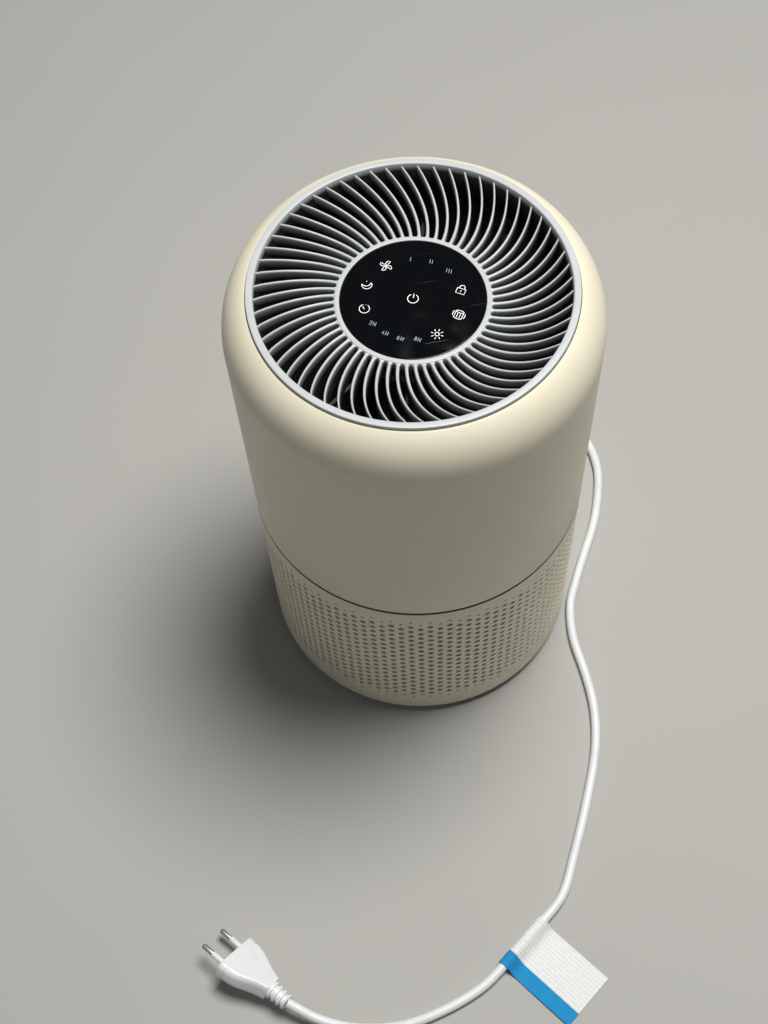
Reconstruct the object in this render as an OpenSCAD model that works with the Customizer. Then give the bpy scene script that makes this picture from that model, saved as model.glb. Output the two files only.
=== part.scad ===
// Cylindrical tabletop air purifier: two-part shell on a twist-off base, drum
// filter below, centrifugal fan above, dished outlet grille with a touch panel,
// mains cord with a two-pin plug. Millimetres, +Z up, front towards -Y, origin
// at the middle of the plane that the feet stand on.

/* [Shell] */
// Height from the floor to the top of the grille ring
overall_h = 360; // [330:1:440]
// Diameter at the shoulder
body_d = 220; // [205:1:270]
// How much smaller the radius is at the foot than at the shoulder
base_taper = 1.4; // [0:0.1:4]
// Shell wall
wall = 2.5; // [2:0.1:4]
// Height of the seam above the underside of the fan's inlet plate
seam_rise = 1; // [0.8:0.1:2]
// Width of the shadow groove at the seam
seam_gap = 1.2; // [0.6:0.1:2]
// Depth of the lip that centres one shell in the other
lip_h = 4; // [3:0.5:8]
// Horizontal reach of the shoulder curve
shoulder_w = 27; // [22:0.5:30]
// Vertical reach of the shoulder curve
shoulder_h = 32; // [24:0.5:40]
// Rounding at the foot of the shell
foot_round = 5; // [3:0.5:8]

/* [Air intake holes] */
// Holes round the shell in one row
intake_cols = 36; // [24:1:40]
// Rows of holes
intake_rows = 8; // [6:1:8]
// Hole diameter
intake_d = 10; // [6:0.5:11]
// Height of the lowest row
intake_z = 38; // [34:1:44]
// Height from row to row
intake_pitch = 14.8; // [13:0.1:15]

/* [Outlet grille] */
// Radius of the grille ring
ring_r = 93.4; // [88:0.1:98]
// Width of the flat top of the ring
ring_w = 4.2; // [3:0.1:6]
// Spiral vanes in the grille
vane_count = 60; // [40:2:60]
// Vane thickness at the hub
vane_t_hub = 1.9; // [1.4:0.1:2.2]
// Vane thickness at the ring
vane_t_rim = 1.3; // [1:0.1:2]
// Angle that a vane turns through from hub to ring
vane_sweep = 15; // [8:1:24]
// How far the panel sits below the top of the ring
dish_depth = 11.5; // [8:0.5:14]
// Vane depth at the hub
vane_depth = 12; // [8:0.5:14]

/* [Touch panel] */
// Radius of the glossy panel
panel_r = 41.4; // [36:0.1:44]
// Width of the pale rim round the panel
panel_rim = 3; // [2:0.1:5]
// Thickness of the panel
panel_t = 3; // [2:0.1:4]
// Thickness of the diffuser under the panel
diffuser_t = 3.4; // [2:0.1:4]
// Thickness of the circuit boards
board_t = 1.6; // [1:0.1:2]

/* [Fan] */
// Impeller diameter
impeller_d = 148; // [120:1:152]
// Impeller height
impeller_h = 47; // [38:1:50]
// Number of impeller blades
blade_count = 28; // [18:1:32]
// Impeller inlet radius
inlet_r = 52; // [46:0.5:56]
// Thickness of the impeller plates
disc_t = 2.5; // [2:0.1:3]
// Air duct inside radius
duct_r = 86; // [84:0.1:87]
// Wall of the ducts
duct_wall = 2; // [1.6:0.1:2.6]
// Guide vanes in the duct
guide_count = 10; // [6:1:14]

/* [Motor] */
// Motor case radius
motor_r = 32; // [28:0.5:34]
// Motor case height
motor_h = 43; // [38:1:50]
// Motor shaft radius
shaft_r = 3; // [2.5:0.1:4]
// Ball bearing outer radius
bearing_r = 8; // [7:0.1:9]
// Ball bearing width
bearing_w = 5; // [4:0.1:6]
// Running clearance of the shaft in its bearings
running_gap = 0.03; // [0.01:0.01:0.06]

/* [Filter] */
// Filter outside radius
filter_r = 90; // [84:0.5:91]
// Filter core radius
filter_core_r = 50; // [46:0.5:54]
// Filter height without its seal
filter_h = 140.5; // [130:0.5:170]
// Thickness of the filter's end caps
cap_t = 3; // [2:0.1:4]
// Number of pleats
pleat_count = 90; // [60:1:120]
// Radius where the pleats begin
pleat_in_r = 71; // [68:0.5:74]
// Carbon bed thickness
carbon_t = 14; // [8:0.5:15]
// Height of the foam seal
seal_h = 3; // [2:0.1:3.2]

/* [Base cover] */
// Radius of the twist-off cover
cover_r = 93; // [92:0.1:95]
// Thickness of the cover's plate
cover_t = 3; // [2.5:0.1:4]
// Height of the cover's rim
cover_rim_h = 14; // [12:0.5:16]
// Height of the rubber feet
foot_h = 5; // [3:0.5:7]
// Radius of a rubber foot
foot_r = 9; // [6:0.5:11]
// Number of bayonet lugs
lug_count = 4; // [3:1:6]
// Angle that a lug covers
lug_angle = 12; // [8:1:16]
// Angle that the cover turns through to unlock
twist_angle = 18; // [10:1:25]
// Radius of the finger recess under the cover
grip_r = 36; // [30:1:42]

/* [Cord and plug] */
// Cord diameter
cord_d = 6.5; // [5:0.1:8]
// Height of the cord's exit above the floor
exit_z = 20.5; // [18:0.5:24]
// Length of the strain relief outside the shell
relief_l = 28; // [20:1:30]
// Length of the plug's body
plug_l = 34; // [30:1:38]
// Width of the plug's body
plug_w = 35; // [34:0.1:36]
// Thickness of the plug's body
plug_t = 13.7; // [12:0.1:14]
// Distance between the pins
pin_pitch = 18.6; // [17.5:0.1:19]
// Pin radius
pin_r = 2; // [2:0.05:2.4]
// Pin length in front of the plug
pin_l = 19; // [18:0.1:19.2]
// Length of the insulated part of each pin
pin_sleeve_l = 10; // [9:0.1:11]
// How far the plug lies rolled about its own length
plug_roll = 32; // [0:1:45]

/* [Hidden] */
$fn = 96;

// Clearances
fit = 0.2;       // parts that drop into each other
slide_fit = 0.4; // parts that turn or lift out by hand
touch = 0.3;     // curved faces on bodies that move apart

// Shell, worked out from the sizes above
body_r = body_d / 2;
rim_z = overall_h - 2;
rim_r = ring_r + slide_fit;
shoulder_angle = acos((rim_r - body_r + shoulder_w) / shoulder_w);
shoulder_z = rim_z - shoulder_h * sin(shoulder_angle);
foot_z = foot_h;
foot_body_r = body_r - base_taper;
function shell_r(z) = body_r
    - base_taper * (shoulder_z - min(z, shoulder_z)) / (shoulder_z - foot_z);
ledge_z = rim_z - 5.2;
ledge_t = 2.4;
ledge_r = ring_r - 3;

// Grille and panel
panel_z = overall_h - dish_depth;
hub_r = panel_r + panel_rim + fit;
ring_in_r = ring_r - ring_w;
ring_throat_r = duct_r + 0.5;
grille_bottom_z = panel_z - vane_depth;
hub_wall = 2.4;
lens_seat_z = panel_z - panel_t - fit;
diffuser_z = lens_seat_z - diffuser_t;
control_z = diffuser_z - 5;
dish_power = 2.6;
vane_steps = 8;

// Filter and base
cover_z = foot_z;
cover_plate_top = cover_z + cover_t;
rib_top = cover_z + cover_rim_h + 1.2;
filter_z = rib_top + touch;
filter_top = filter_z + filter_h;

// Fan section
plate_t = 2.5;
plate_z = filter_top + seal_h + slide_fit;
seam_z = plate_z + seam_rise;
plate_r = shell_r(seam_z) - wall - 1.6;
plate_top = plate_z + plate_t;
throat_r = inlet_r - 2;
throat_wall = 2;
impeller_z = plate_top + 17.6;
impeller_top = impeller_z + impeller_h;
pod_z = impeller_top + 8.5;
pod_floor = 3;
pod_r = hub_r - hub_wall - 0.8;
duct_top = grille_bottom_z - fit;
duct_flange_w = 8;
strut_z = pod_z + 15;
strut_w = 9;
strut_bore = 3;
guide_t = 2;
guide_z = pod_z + 24;
guide_clear = 12.3;
guide_h = duct_top - guide_clear - guide_z;

// Motor
bush_h = 2.5;
bush_r = 4;
motor_z = pod_z + pod_floor + bush_h;
motor_wall = 3;
bolt_circle = motor_r - 6.5;
bolt_r = 1.5;
bolt_head_r = 3;
bolt_head_h = 1.8;
boss_r = bearing_r + 3;
boss_h = 8.5;
stator_r = motor_r - motor_wall - 0.2;
stator_bore = 18;
stator_h = 24;
stator_z = motor_z + boss_h;
air_gap = 1;
rotor_r = stator_bore - air_gap;
rotor_h = 20;
coil_count = 12;
shaft_z = impeller_z + 12;
shaft_top = motor_z + motor_h + 1.5;
hub_boss_r = 12;
washer_t = 0.8;
nut_t = 5;

// Collar, lugs and feet
collar_r = cover_r + slide_fit;
lug_reach = 4;
collar_out_r = collar_r + lug_reach + 1.6;
collar_h = cover_rim_h - 1;
lug_z = cover_z + 7;
lug_h = 3;
pre_filter_t = 1;
screen_t = 2.4;
grip_h = 9;
foot_circle = cover_r - foot_r - 6;
rib_t = 2;
rib_inner_r = 60;
rib_outer_r = foot_circle + 4;

// Electronics behind the duct
board_w = 56;
board_h = 70;
board_z = plate_top + 14;
board_y = duct_r + duct_wall + 8.4;
bracket_y = duct_r + duct_wall + 3.4;
bracket_t = 1.6;
lead_r = 2.6;
lead_y = shell_r(exit_z) - wall - 5.4;
lead_end_y = board_y + board_t + 2.7;
screw_circle = plate_r - 5;
flange_circle = duct_r + duct_flange_w - 3;

// Cord
cord_r = cord_d / 2;
relief_flange_r = 8;
relief_neck_r = 4.9;
relief_tip_r = 4.4;
relief_root_r = 6.6;
relief_end_y = shell_r(exit_z) + relief_l;
cord_sides = 10;
rings_per_span = 3;
lay_z = cord_r + 0.1;
tag_gap = 0.6;
tag_t = 0.5;
tag_z = cord_r + tag_gap + tag_t + 0.1;
plug_axis_z = plug_w / 2 * sin(plug_roll) + plug_t / 2 * cos(plug_roll) + 0.1;
plug_turn = 163.5;
plug_front = [-5.5, -313.5];
plug_neck_l = 14;
plug_neck_r = 6.4;
plug_back_l = plug_l + plug_neck_l;
plug_back = plug_front
    + plug_back_l * [cos(plug_turn + 180), sin(plug_turn + 180)];
tag_l = 56;
tag_w = 41;
tag_start = [176, -210];
tag_turn = -110;
tag_end = tag_start + tag_w * [cos(tag_turn), sin(tag_turn)];

// Route of the cord, from the strain relief round the right-hand side to the
// plug in front, chosen by hand
cord_route = [
    [0, relief_end_y, exit_z],
    [2, relief_end_y + 12, 16],
    [12, 162, 7],
    [32, 174, lay_z],
    [56, 172, lay_z],
    [79, 158, lay_z],
    [94, 138, lay_z],
    [102, 115, lay_z],
    [107, 90, lay_z],
    [109, 62, lay_z],
    [111, 38, lay_z],
    [114, 18, lay_z],
    [125, -6, lay_z],
    [143, -30, lay_z],
    [158, -54, lay_z],
    [169, -84, lay_z],
    [176, -125, lay_z],
    [180, -160, lay_z],
    [182, -188, lay_z + 0.4],
    [tag_start.x, tag_start.y, tag_z],
    [169, -229, tag_z],
    [tag_end.x, tag_end.y, tag_z],
    [153, -268, lay_z + 0.3],
    [136, -290, lay_z],
    [115, -309, lay_z],
    [90, -322, 5],
    [65, -328, 11],
    [plug_back.x, plug_back.y, plug_axis_z]];

// ---------------------------------------------------------------- helpers

// Points on an arc of an ellipse
function arc(cx, cy, rx, ry, a0, a1, n = 12) =
    [for (i = [0 : n])
        let (a = a0 + (a1 - a0) * i / n)
        [cx + rx * cos(a), cy + ry * sin(a)]];

// A point on the smooth curve through p1 and p2 that p0 and p3 steer
function curve_point(p0, p1, p2, p3, t) =
    0.5 * (2 * p1 + (p2 - p0) * t
        + (2 * p0 - 5 * p1 + 4 * p2 - p3) * t * t
        + (3 * p1 - p0 - 3 * p2 + p3) * t * t * t);

// The whole smooth curve through a route
function smooth(route, n) =
    let (last = len(route) - 1)
    concat(
        [for (i = [0 : last - 1], k = [0 : n - 1])
            curve_point(route[max(i - 1, 0)], route[i], route[i + 1],
                route[min(i + 2, last)], k / n)],
        [route[last]]);

function unit(v) = v / norm(v);

// The direction of a path at point i
function heading(path, i) =
    unit(path[min(i + 1, len(path) - 1)] - path[max(i - 1, 0)]);

// One ring of the tube; side is a direction that is never along the path
function tube_ring(path, i, r, sides, side) =
    let (ahead = heading(path, i),
        u = unit(cross(ahead, side)),
        v = cross(u, ahead))
    [for (k = [0 : sides - 1])
        path[i] + r * (cos(360 * k / sides) * u + sin(360 * k / sides) * v)];

module tube(path, r, sides, side = [0, 0, 1]) {
    rings = len(path);
    points = [for (i = [0 : rings - 1]) each tube_ring(path, i, r, sides, side)];
    start_cap = [for (k = [0 : sides - 1]) k];
    end_cap = [for (k = [sides - 1 : -1 : 0]) (rings - 1) * sides + k];
    walls = [for (i = [0 : rings - 2], k = [0 : sides - 1])
        let (next = (k + 1) % sides)
        [i * sides + k, (i + 1) * sides + k,
            (i + 1) * sides + next, i * sides + next]];
    polyhedron(points, concat([start_cap], [end_cap], walls));
}

module ring(r_in, r_out, z, h) {
    translate([0, 0, z])
        rotate_extrude()
            translate([r_in, 0])
                square([r_out - r_in, h]);
}

module disc(r, z, h) {
    translate([0, 0, z])
        cylinder(r = r, h = h);
}

module around(count, start = 0) {
    for (i = [0 : count - 1])
        rotate([0, 0, start + i * 360 / count])
            children();
}

// Pan-head screw whose head sits on top at z
module screw(z, shank_r, shank_l, head_r, head_h) {
    disc(shank_r, z - shank_l, shank_l);
    disc(head_r, z, head_h);
}

// ------------------------------------------------------------------ shells

module upper_housing() {
    lip_r = shell_r(seam_z) - wall;
    bottom = seam_z + seam_gap / 2;
    pillar_h = 16;
    web_z = seam_z + lip_h + 0.6;
    outer = concat(
        [[shell_r(seam_z), bottom]],
        arc(body_r - shoulder_w, shoulder_z, shoulder_w, shoulder_h,
            0, shoulder_angle, 16));
    inner = concat(
        [[rim_r, ledge_z], [ledge_r, ledge_z], [ledge_r, ledge_z - ledge_t]],
        arc(body_r - shoulder_w, shoulder_z, shoulder_w - wall,
            shoulder_h - wall, 48, 0, 10),
        [[lip_r, seam_z + seam_gap / 2]]);
    color("ivory") difference() {
        union() {
            rotate_extrude()
                polygon(concat(outer, inner));
            // Pillars that the inlet plate is screwed to
            around(6)
                translate([screw_circle, 0, 0])
                    disc(4, plate_top, pillar_h);
            // Webs that tie the pillars to the wall
            around(6)
                translate([screw_circle, -1.2, web_z])
                    cube([lip_r - screw_circle + 0.6, 2.4,
                        plate_top + pillar_h - web_z]);
        }
        around(6)
            translate([screw_circle, 0, 0])
                disc(bolt_r, plate_top - 1, 12);
    }
}

module lower_housing() {
    top = seam_z - seam_gap / 2;
    inner_r = foot_body_r - wall;
    color("ivory") difference() {
        union() {
            rotate_extrude()
                polygon(concat(
                    [[collar_r, foot_z]],
                    arc(foot_body_r - foot_round, foot_z + foot_round,
                        foot_round, foot_round, -90, 0, 8),
                    [[shell_r(seam_z), top],
                        [shell_r(seam_z) - wall, top],
                        [inner_r, foot_z + foot_round],
                        [inner_r - 3, foot_z + cover_t],
                        [collar_out_r, foot_z + cover_t],
                        [collar_out_r, foot_z + collar_h],
                        [collar_r, foot_z + collar_h]]));
            // Lip that reaches up inside the upper shell
            ring(plate_r + fit, shell_r(seam_z) - wall + 0.1, top - 5, 5);
            ring(plate_r + fit, shell_r(seam_z) - wall - fit, top - 1,
                lip_h + 1);
        }
        // Air intake holes, each row shifted by half a hole
        for (row = [0 : intake_rows - 1])
            around(intake_cols, 90 + (row % 2) * 180 / intake_cols)
                translate([shell_r(seam_z) - wall * 2, 0,
                    intake_z + row * intake_pitch])
                    rotate([0, 90, 0])
                        cylinder(d = intake_d, h = wall * 4, $fn = 32);
        // Ways in for the cover's lugs
        around(lug_count, 45 - lug_angle / 2 - 2)
            rotate_extrude(angle = lug_angle + twist_angle + 4)
                translate([collar_r - 1, foot_z - 1])
                    square([lug_reach + 1.5, collar_h - 1]);
        // Cord exit
        translate([0, collar_out_r + 1, exit_z])
            rotate([-90, 0, 0])
                cylinder(r = relief_neck_r + 0.1, h = body_r);
    }
}

module shell_screws() {
    color("silver") around(6)
        translate([screw_circle, 0, 0])
            mirror([0, 0, 1])
                screw(-plate_z, bolt_r, 11, bolt_head_r, bolt_head_h);
}

// ------------------------------------------------------------------ grille

function vane_r(s) = hub_r - 0.6 + s * (ring_in_r + 0.4 - hub_r + 0.6);
function vane_a(s) = vane_sweep * pow(s, 1.5);
function vane_half(s) = (vane_t_hub + s * (vane_t_rim - vane_t_hub)) / 2;
function vane_edge(s, side) =
    let (r = vane_r(s), a = vane_a(s) + side * vane_half(s) / r * 180 / PI)
    [r * cos(a), r * sin(a)];
function dish_z(r) = panel_z + (overall_h - 1 - panel_z)
    * pow(max(0, min(1, (r - hub_r) / (ring_in_r - hub_r))), dish_power);

module top_grille() {
    clip_count = 4;
    color("gainsboro") {
        // Ring
        rotate_extrude()
            polygon(concat(
                [[ring_throat_r, grille_bottom_z],
                    [ledge_r - fit, grille_bottom_z],
                    [ledge_r - fit, ledge_z + fit],
                    [ring_r, ledge_z + fit],
                    [ring_r, overall_h - 1.4],
                    [ring_r - 1, overall_h - 0.4],
                    [ring_r - 2, overall_h],
                    [ring_in_r + 0.8, overall_h],
                    [ring_in_r, overall_h - 0.8]],
                [[ring_throat_r, panel_z]]));
        // Clips under the housing's ledge
        around(clip_count, 22.5)
            translate([ledge_r - 1, -6, ledge_z - ledge_t - 3 - fit])
                cube([2.4, 12, 3]);
        // Hub with the rim round the panel
        rotate_extrude()
            polygon([[hub_r - hub_wall, grille_bottom_z],
                [hub_r, grille_bottom_z],
                [hub_r, panel_z - 0.6],
                [hub_r - 0.6, panel_z],
                [panel_r + fit, panel_z],
                [panel_r + fit, lens_seat_z],
                [panel_r - 3, lens_seat_z],
                [panel_r - 3, lens_seat_z - 1.4],
                [hub_r - hub_wall, lens_seat_z - 1.4]]);
        // Vanes, trimmed to the dish
        intersection() {
            around(vane_count)
                translate([0, 0, grille_bottom_z])
                    linear_extrude(overall_h - grille_bottom_z)
                        polygon(concat(
                            [for (i = [0 : vane_steps])
                                vane_edge(i / vane_steps, -1)],
                            [for (i = [vane_steps : -1 : 0])
                                vane_edge(i / vane_steps, 1)]));
            rotate_extrude()
                polygon(concat(
                    [[hub_r - 2, grille_bottom_z], [hub_r - 2, panel_z - 0.4]],
                    [for (i = [0 : 8])
                        let (r = hub_r + i / 8 * (ring_in_r - hub_r))
                        [r, dish_z(r) - 0.4]],
                    [[ring_in_r + 1, overall_h - 1.4],
                        [ring_in_r + 1, overall_h - 8],
                        [ring_throat_r + 1, panel_z],
                        [ring_throat_r + 1, grille_bottom_z]]));
        }
    }
}

module panel_lens() {
    color("black") disc(panel_r, panel_z - panel_t - fit, panel_t);
}

module light_diffuser() {
    color("whitesmoke") disc(panel_r - 3.4, diffuser_z, diffuser_t);
}

module control_board() {
    color("darkgreen") {
        disc(panel_r - 4, control_z, board_t);
        // Touch springs and lamps under the symbols
        around(14, 8)
            translate([27.5, 0, 0])
                disc(1.6, control_z + board_t, diffuser_z - control_z - board_t);
        translate([12, -6, control_z - 2])
            cube([8, 12, 2]);
        translate([-16, -7, control_z - 1.4])
            cube([14, 14, 1.4]);
    }
}

module ribbon_cable() {
    ribbon_w = 12;
    ribbon_t = 0.8;
    ribbon_x = motor_r + 2.6;
    color("dimgray") {
        translate([20, -ribbon_w / 2, control_z - 2])
            cube([ribbon_x - 20, ribbon_w, ribbon_t]);
        translate([ribbon_x, -ribbon_w / 2, motor_z + 6])
            cube([ribbon_t, ribbon_w, control_z - 2 + ribbon_t - motor_z - 6]);
    }
}

// --------------------------------------------------------------- fan duct

module air_duct() {
    flange_z = plate_top;
    color("lightgray") difference() {
        union() {
            ring(duct_r, duct_r + duct_wall, flange_z, duct_top - flange_z);
            ring(duct_r, duct_r + duct_flange_w, flange_z, duct_wall);
        }
        around(6, 30)
            translate([flange_circle, 0, 0])
                disc(bolt_r, flange_z - 1, duct_wall + 2);
        strut_hole();
    }
}

// Way through for the motor lead, at the back
module strut_hole() {
    translate([0, pod_r - duct_wall - 3, strut_z])
        rotate([-90, 0, 0])
            cylinder(r = strut_bore, h = duct_r + duct_wall - pod_r + 9);
}

// Cup that holds the motor; its rim reaches up inside the grille's hub
module motor_pod() {
    color("lightgray") difference() {
        union() {
            ring(pod_r - duct_wall, pod_r, pod_z, duct_top - pod_z + 3);
            disc(pod_r - 0.1, pod_z, pod_floor);
        }
        disc(bearing_r, pod_z - 1, pod_floor + 2);
        around(4, 45)
            translate([bolt_circle, 0, 0])
                disc(bolt_r, pod_z - 1, pod_floor + 2);
        strut_hole();
    }
}

// Vanes that carry the pod and straighten the air, and a hollow strut
module guide_vanes() {
    color("lightgray") {
        around(guide_count, 90 + 180 / guide_count)
            translate([pod_r - 1, -guide_t / 2, guide_z])
                cube([duct_r - pod_r + 2, guide_t, guide_h]);
        difference() {
            translate([-strut_w / 2, pod_r - 1, strut_z - strut_w / 2])
                cube([strut_w, duct_r - pod_r + 2, strut_w]);
            strut_hole();
        }
    }
}

module inlet_plate() {
    throat_top = impeller_z + 3;
    bell_r = 6;
    color("lightgray") difference() {
        union() {
            rotate_extrude()
                polygon(concat(
                    [[throat_r - throat_wall + bell_r, plate_z],
                        [plate_r, plate_z],
                        [plate_r, plate_top],
                        [throat_r + bell_r, plate_top]],
                    arc(throat_r + bell_r, plate_top + bell_r,
                        bell_r, bell_r, -90, -180, 6),
                    [[throat_r, throat_top],
                        [throat_r - throat_wall, throat_top]],
                    arc(throat_r - throat_wall + bell_r, plate_z + bell_r,
                        bell_r, bell_r, 180, 270, 6)));
        }
        around(6)
            translate([screw_circle, 0, 0])
                disc(bolt_r + 0.1, plate_z - 1, plate_t + 2);
        around(6, 30)
            translate([flange_circle, 0, 0])
                disc(bolt_r, plate_z - 1, plate_t + 2);
        translate([0, lead_y, 0])
            disc(lead_r + 1, plate_z - 1, plate_t + 2);
    }
}

module plate_screws() {
    color("silver") around(6, 30)
        translate([flange_circle, 0, 0])
            screw(plate_top + duct_wall, bolt_r, plate_t + duct_wall + 0.6,
                2.6, 1.6);
}

module inlet_guard() {
    guard_z = plate_top + 8;
    guard_h = 2;
    outer = throat_r - throat_wall - 0.1;
    color("lightgray") {
        ring(outer - 2.4, outer, guard_z, guard_h);
        ring(30, 32, guard_z, guard_h);
        ring(14, 16, guard_z, guard_h);
        around(8)
            translate([15, -0.9, guard_z])
                cube([outer - 16, 1.8, guard_h]);
    }
}

// ------------------------------------------------------------- motor, fan

module motor_case() {
    top = motor_z + motor_h;
    color("silver") difference() {
        union() {
            rotate_extrude()
                polygon([[bearing_r, motor_z],
                    [motor_r, motor_z], [motor_r, top],
                    [bearing_r, top], [bearing_r, top - boss_h],
                    [boss_r, top - boss_h], [boss_r, top - motor_wall],
                    [motor_r - motor_wall, top - motor_wall],
                    [motor_r - motor_wall, motor_z + motor_wall],
                    [boss_r, motor_z + motor_wall],
                    [boss_r, motor_z + boss_h],
                    [bearing_r, motor_z + boss_h]]);
        }
        around(4, 45)
            translate([bolt_circle, 0, 0])
                disc(bolt_r, motor_z - 1, motor_wall + 2);
    }
}

module motor_stator() {
    color("gray") difference() {
        ring(stator_bore, stator_r, stator_z + 1.5, stator_h);
        around(coil_count)
            translate([(stator_bore + stator_r) / 2, 0, 0])
                disc(2, stator_z, stator_h + 4);
    }
}

module motor_windings() {
    color("peru") around(coil_count)
        translate([(stator_bore + stator_r) / 2, 0, 0])
            disc(2 - 0.1, stator_z + 0.3, stator_h + 2.4);
}

module motor_bearings() {
    color("silver") {
        ring(shaft_r + running_gap, bearing_r, motor_z + 1, bearing_w);
        ring(shaft_r + running_gap, bearing_r, motor_z + motor_h - 1 - bearing_w,
            bearing_w);
    }
}

module motor_bushes() {
    color("black") around(4, 45)
        translate([bolt_circle, 0, 0])
            ring(bolt_r, bush_r, pod_z + pod_floor, bush_h);
}

module motor_screws() {
    color("silver") around(4, 45)
        translate([bolt_circle, 0, 0])
            screw(motor_z + motor_wall, bolt_r,
                motor_wall + bush_h + pod_floor - 0.5, bolt_head_r, bolt_head_h);
}

module motor_shaft() {
    color("silver") disc(shaft_r, shaft_z, shaft_top - shaft_z);
}

module motor_rotor() {
    color("dimgray") ring(shaft_r, rotor_r, stator_z + 3, rotor_h);
}

function blade_edge(s, side) =
    let (r = inlet_r + 1 + s * (impeller_d / 2 - 1 - inlet_r - 1),
        a = -26 * s + side * 0.7 / r * 180 / PI)
    [r * cos(a), r * sin(a)];

module impeller() {
    color("white") {
        ring(shaft_r, impeller_d / 2, impeller_top - disc_t, disc_t);
        // Boss and the ribs that stiffen it
        ring(shaft_r, hub_boss_r, shaft_z + 9, impeller_top - shaft_z - 9);
        around(6)
            translate([hub_boss_r - 1, -1, impeller_top - 10])
                cube([inlet_r - hub_boss_r - 4, 2, 10 - disc_t + 0.5]);
    }
}

module impeller_shroud() {
    color("white") ring(inlet_r, impeller_d / 2, impeller_z, disc_t);
}

module impeller_blades() {
    blade_steps = 4;
    color("white") around(blade_count)
        translate([0, 0, impeller_z + disc_t / 2])
            linear_extrude(impeller_h - disc_t)
                polygon(concat(
                    [for (i = [0 : blade_steps])
                        blade_edge(i / blade_steps, -1)],
                    [for (i = [blade_steps : -1 : 0])
                        blade_edge(i / blade_steps, 1)]));
}

module impeller_washer() {
    color("silver") ring(shaft_r, shaft_r + 4, shaft_z + 9 - washer_t, washer_t);
}

module impeller_nut() {
    color("silver") difference() {
        translate([0, 0, shaft_z + 9 - washer_t - nut_t])
            cylinder(r = shaft_r + 2.8, h = nut_t, $fn = 6);
        disc(shaft_r, shaft_z, 12);
    }
}

// ------------------------------------------------------------- electronics

module board_bracket() {
    stand_h = board_y - bracket_y - bracket_t;
    color("lightgray") {
        translate([-board_w / 2, bracket_y, board_z])
            cube([board_w, bracket_t, board_h]);
        // Foot that stands on the inlet plate
        translate([-board_w / 2 + 6, bracket_y, plate_top + duct_wall + fit])
            cube([board_w / 2 - 16, bracket_t, board_z - plate_top - duct_wall]);
        for (x = [-1, 1], z = [6, board_h - 6])
            translate([x * (board_w / 2 - 6), bracket_y + bracket_t - 0.1,
                board_z + z])
                rotate([-90, 0, 0])
                    cylinder(r = 3, h = stand_h + 0.1);
    }
}

module board_screws() {
    color("silver")
        for (x = [-1, 1], z = [6, board_h - 6])
            translate([x * (board_w / 2 - 6), board_y + board_t, board_z + z])
                rotate([-90, 0, 0])
                    cylinder(r = 2.6, h = 1.4);
}

module power_board() {
    color("darkgreen")
        translate([-board_w / 2, board_y, board_z])
            cube([board_w, board_t, board_h]);
}

module board_components() {
    face = board_y + board_t;
    color("dimgray") {
        translate([-10, face, board_z + 30])
            cube([18, 5.5, 20]);
        translate([-18, face, board_z + 30])
            cube([6, 5, 12]);
        translate([12, face, board_z + 34])
            cube([10, 4, 8]);
        translate([-6, face, board_z + 4])
            cube([12, 4.5, 8]);
        translate([-8, face, board_z + 56])
            cube([16, 4, 8]);
    }
}

module mains_lead() {
    flange_y = shell_r(exit_z) - wall - 3.2;
    path = smooth([
        [0, flange_y, exit_z],
        [0, lead_y - 1.2, exit_z + 3],
        [0, lead_y - 0.4, exit_z + 10],
        [0, lead_y, exit_z + 24],
        [0, lead_y, (exit_z + plate_z) / 2],
        [0, lead_y, plate_top + 1],
        [0, lead_end_y, board_z - 2],
        [0, lead_end_y, board_z + 4]], 4);
    color("white") tube(path, lead_r, 8, [1, 0, 0]);
}

module motor_lead() {
    path = smooth([
        [0, motor_r + 1, strut_z],
        [0, pod_r + 2, strut_z],
        [0, duct_r, strut_z],
        [0, bracket_y + 2, strut_z],
        [0, board_y + board_t + 1.4, strut_z - 1],
        [0, board_y + board_t + 2.4, board_z + board_h - 4]], 4);
    color("black") tube(path, strut_bore - 1, 8, [1, 0, 0]);
}

module wire_cover() {
    cover_w = 13;
    bottom = exit_z + 24;
    h = plate_z - 9 - bottom;
    depth = 11;
    color("white") difference() {
        translate([-cover_w / 2, lead_y - 5, bottom])
            cube([cover_w, depth - 1, h]);
        translate([-cover_w / 2 + 1.4, lead_y - 3.6, bottom - 1])
            cube([cover_w - 2.8, depth, h + 2]);
    }
}

module cord_clamp() {
    color("white") difference() {
        translate([-11, lead_y - 4.6, exit_z + 15])
            cube([22, 8, 7]);
        translate([0, lead_y, 0])
            disc(lead_r + 0.1, exit_z, 30);
        for (x = [-8, 8])
            translate([x, lead_y - 6, exit_z + 18.5])
                rotate([-90, 0, 0])
                    cylinder(r = 1.4, h = 14);
    }
}

// -------------------------------------------------------------------- cord

module strain_relief() {
    flange_y = shell_r(exit_z) - wall - 3.2;
    wall_y = shell_r(exit_z) + 0.2;
    rib_count = 4;
    color("white") difference() {
        translate([0, 0, exit_z])
            rotate([-90, 0, 0])
                union() {
                    translate([0, 0, flange_y])
                        cylinder(r = relief_flange_r, h = 2.6);
                    translate([0, 0, flange_y])
                        cylinder(r = relief_neck_r, h = wall_y - flange_y + 1);
                    translate([0, 0, wall_y])
                        cylinder(r1 = relief_root_r, r2 = relief_tip_r,
                            h = relief_end_y - wall_y);
                    translate([0, 0, wall_y])
                        cylinder(r = relief_root_r + 1, h = 2.4);
                }
        // Grooves that let the sleeve bend
        for (i = [1 : rib_count])
            translate([0, wall_y + 2 + i * relief_l / (rib_count + 2), exit_z])
                rotate([-90, 0, 0])
                    rotate_extrude()
                        translate([relief_tip_r - 0.6, 0])
                            square([6, 1.6]);
    }
}

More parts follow.
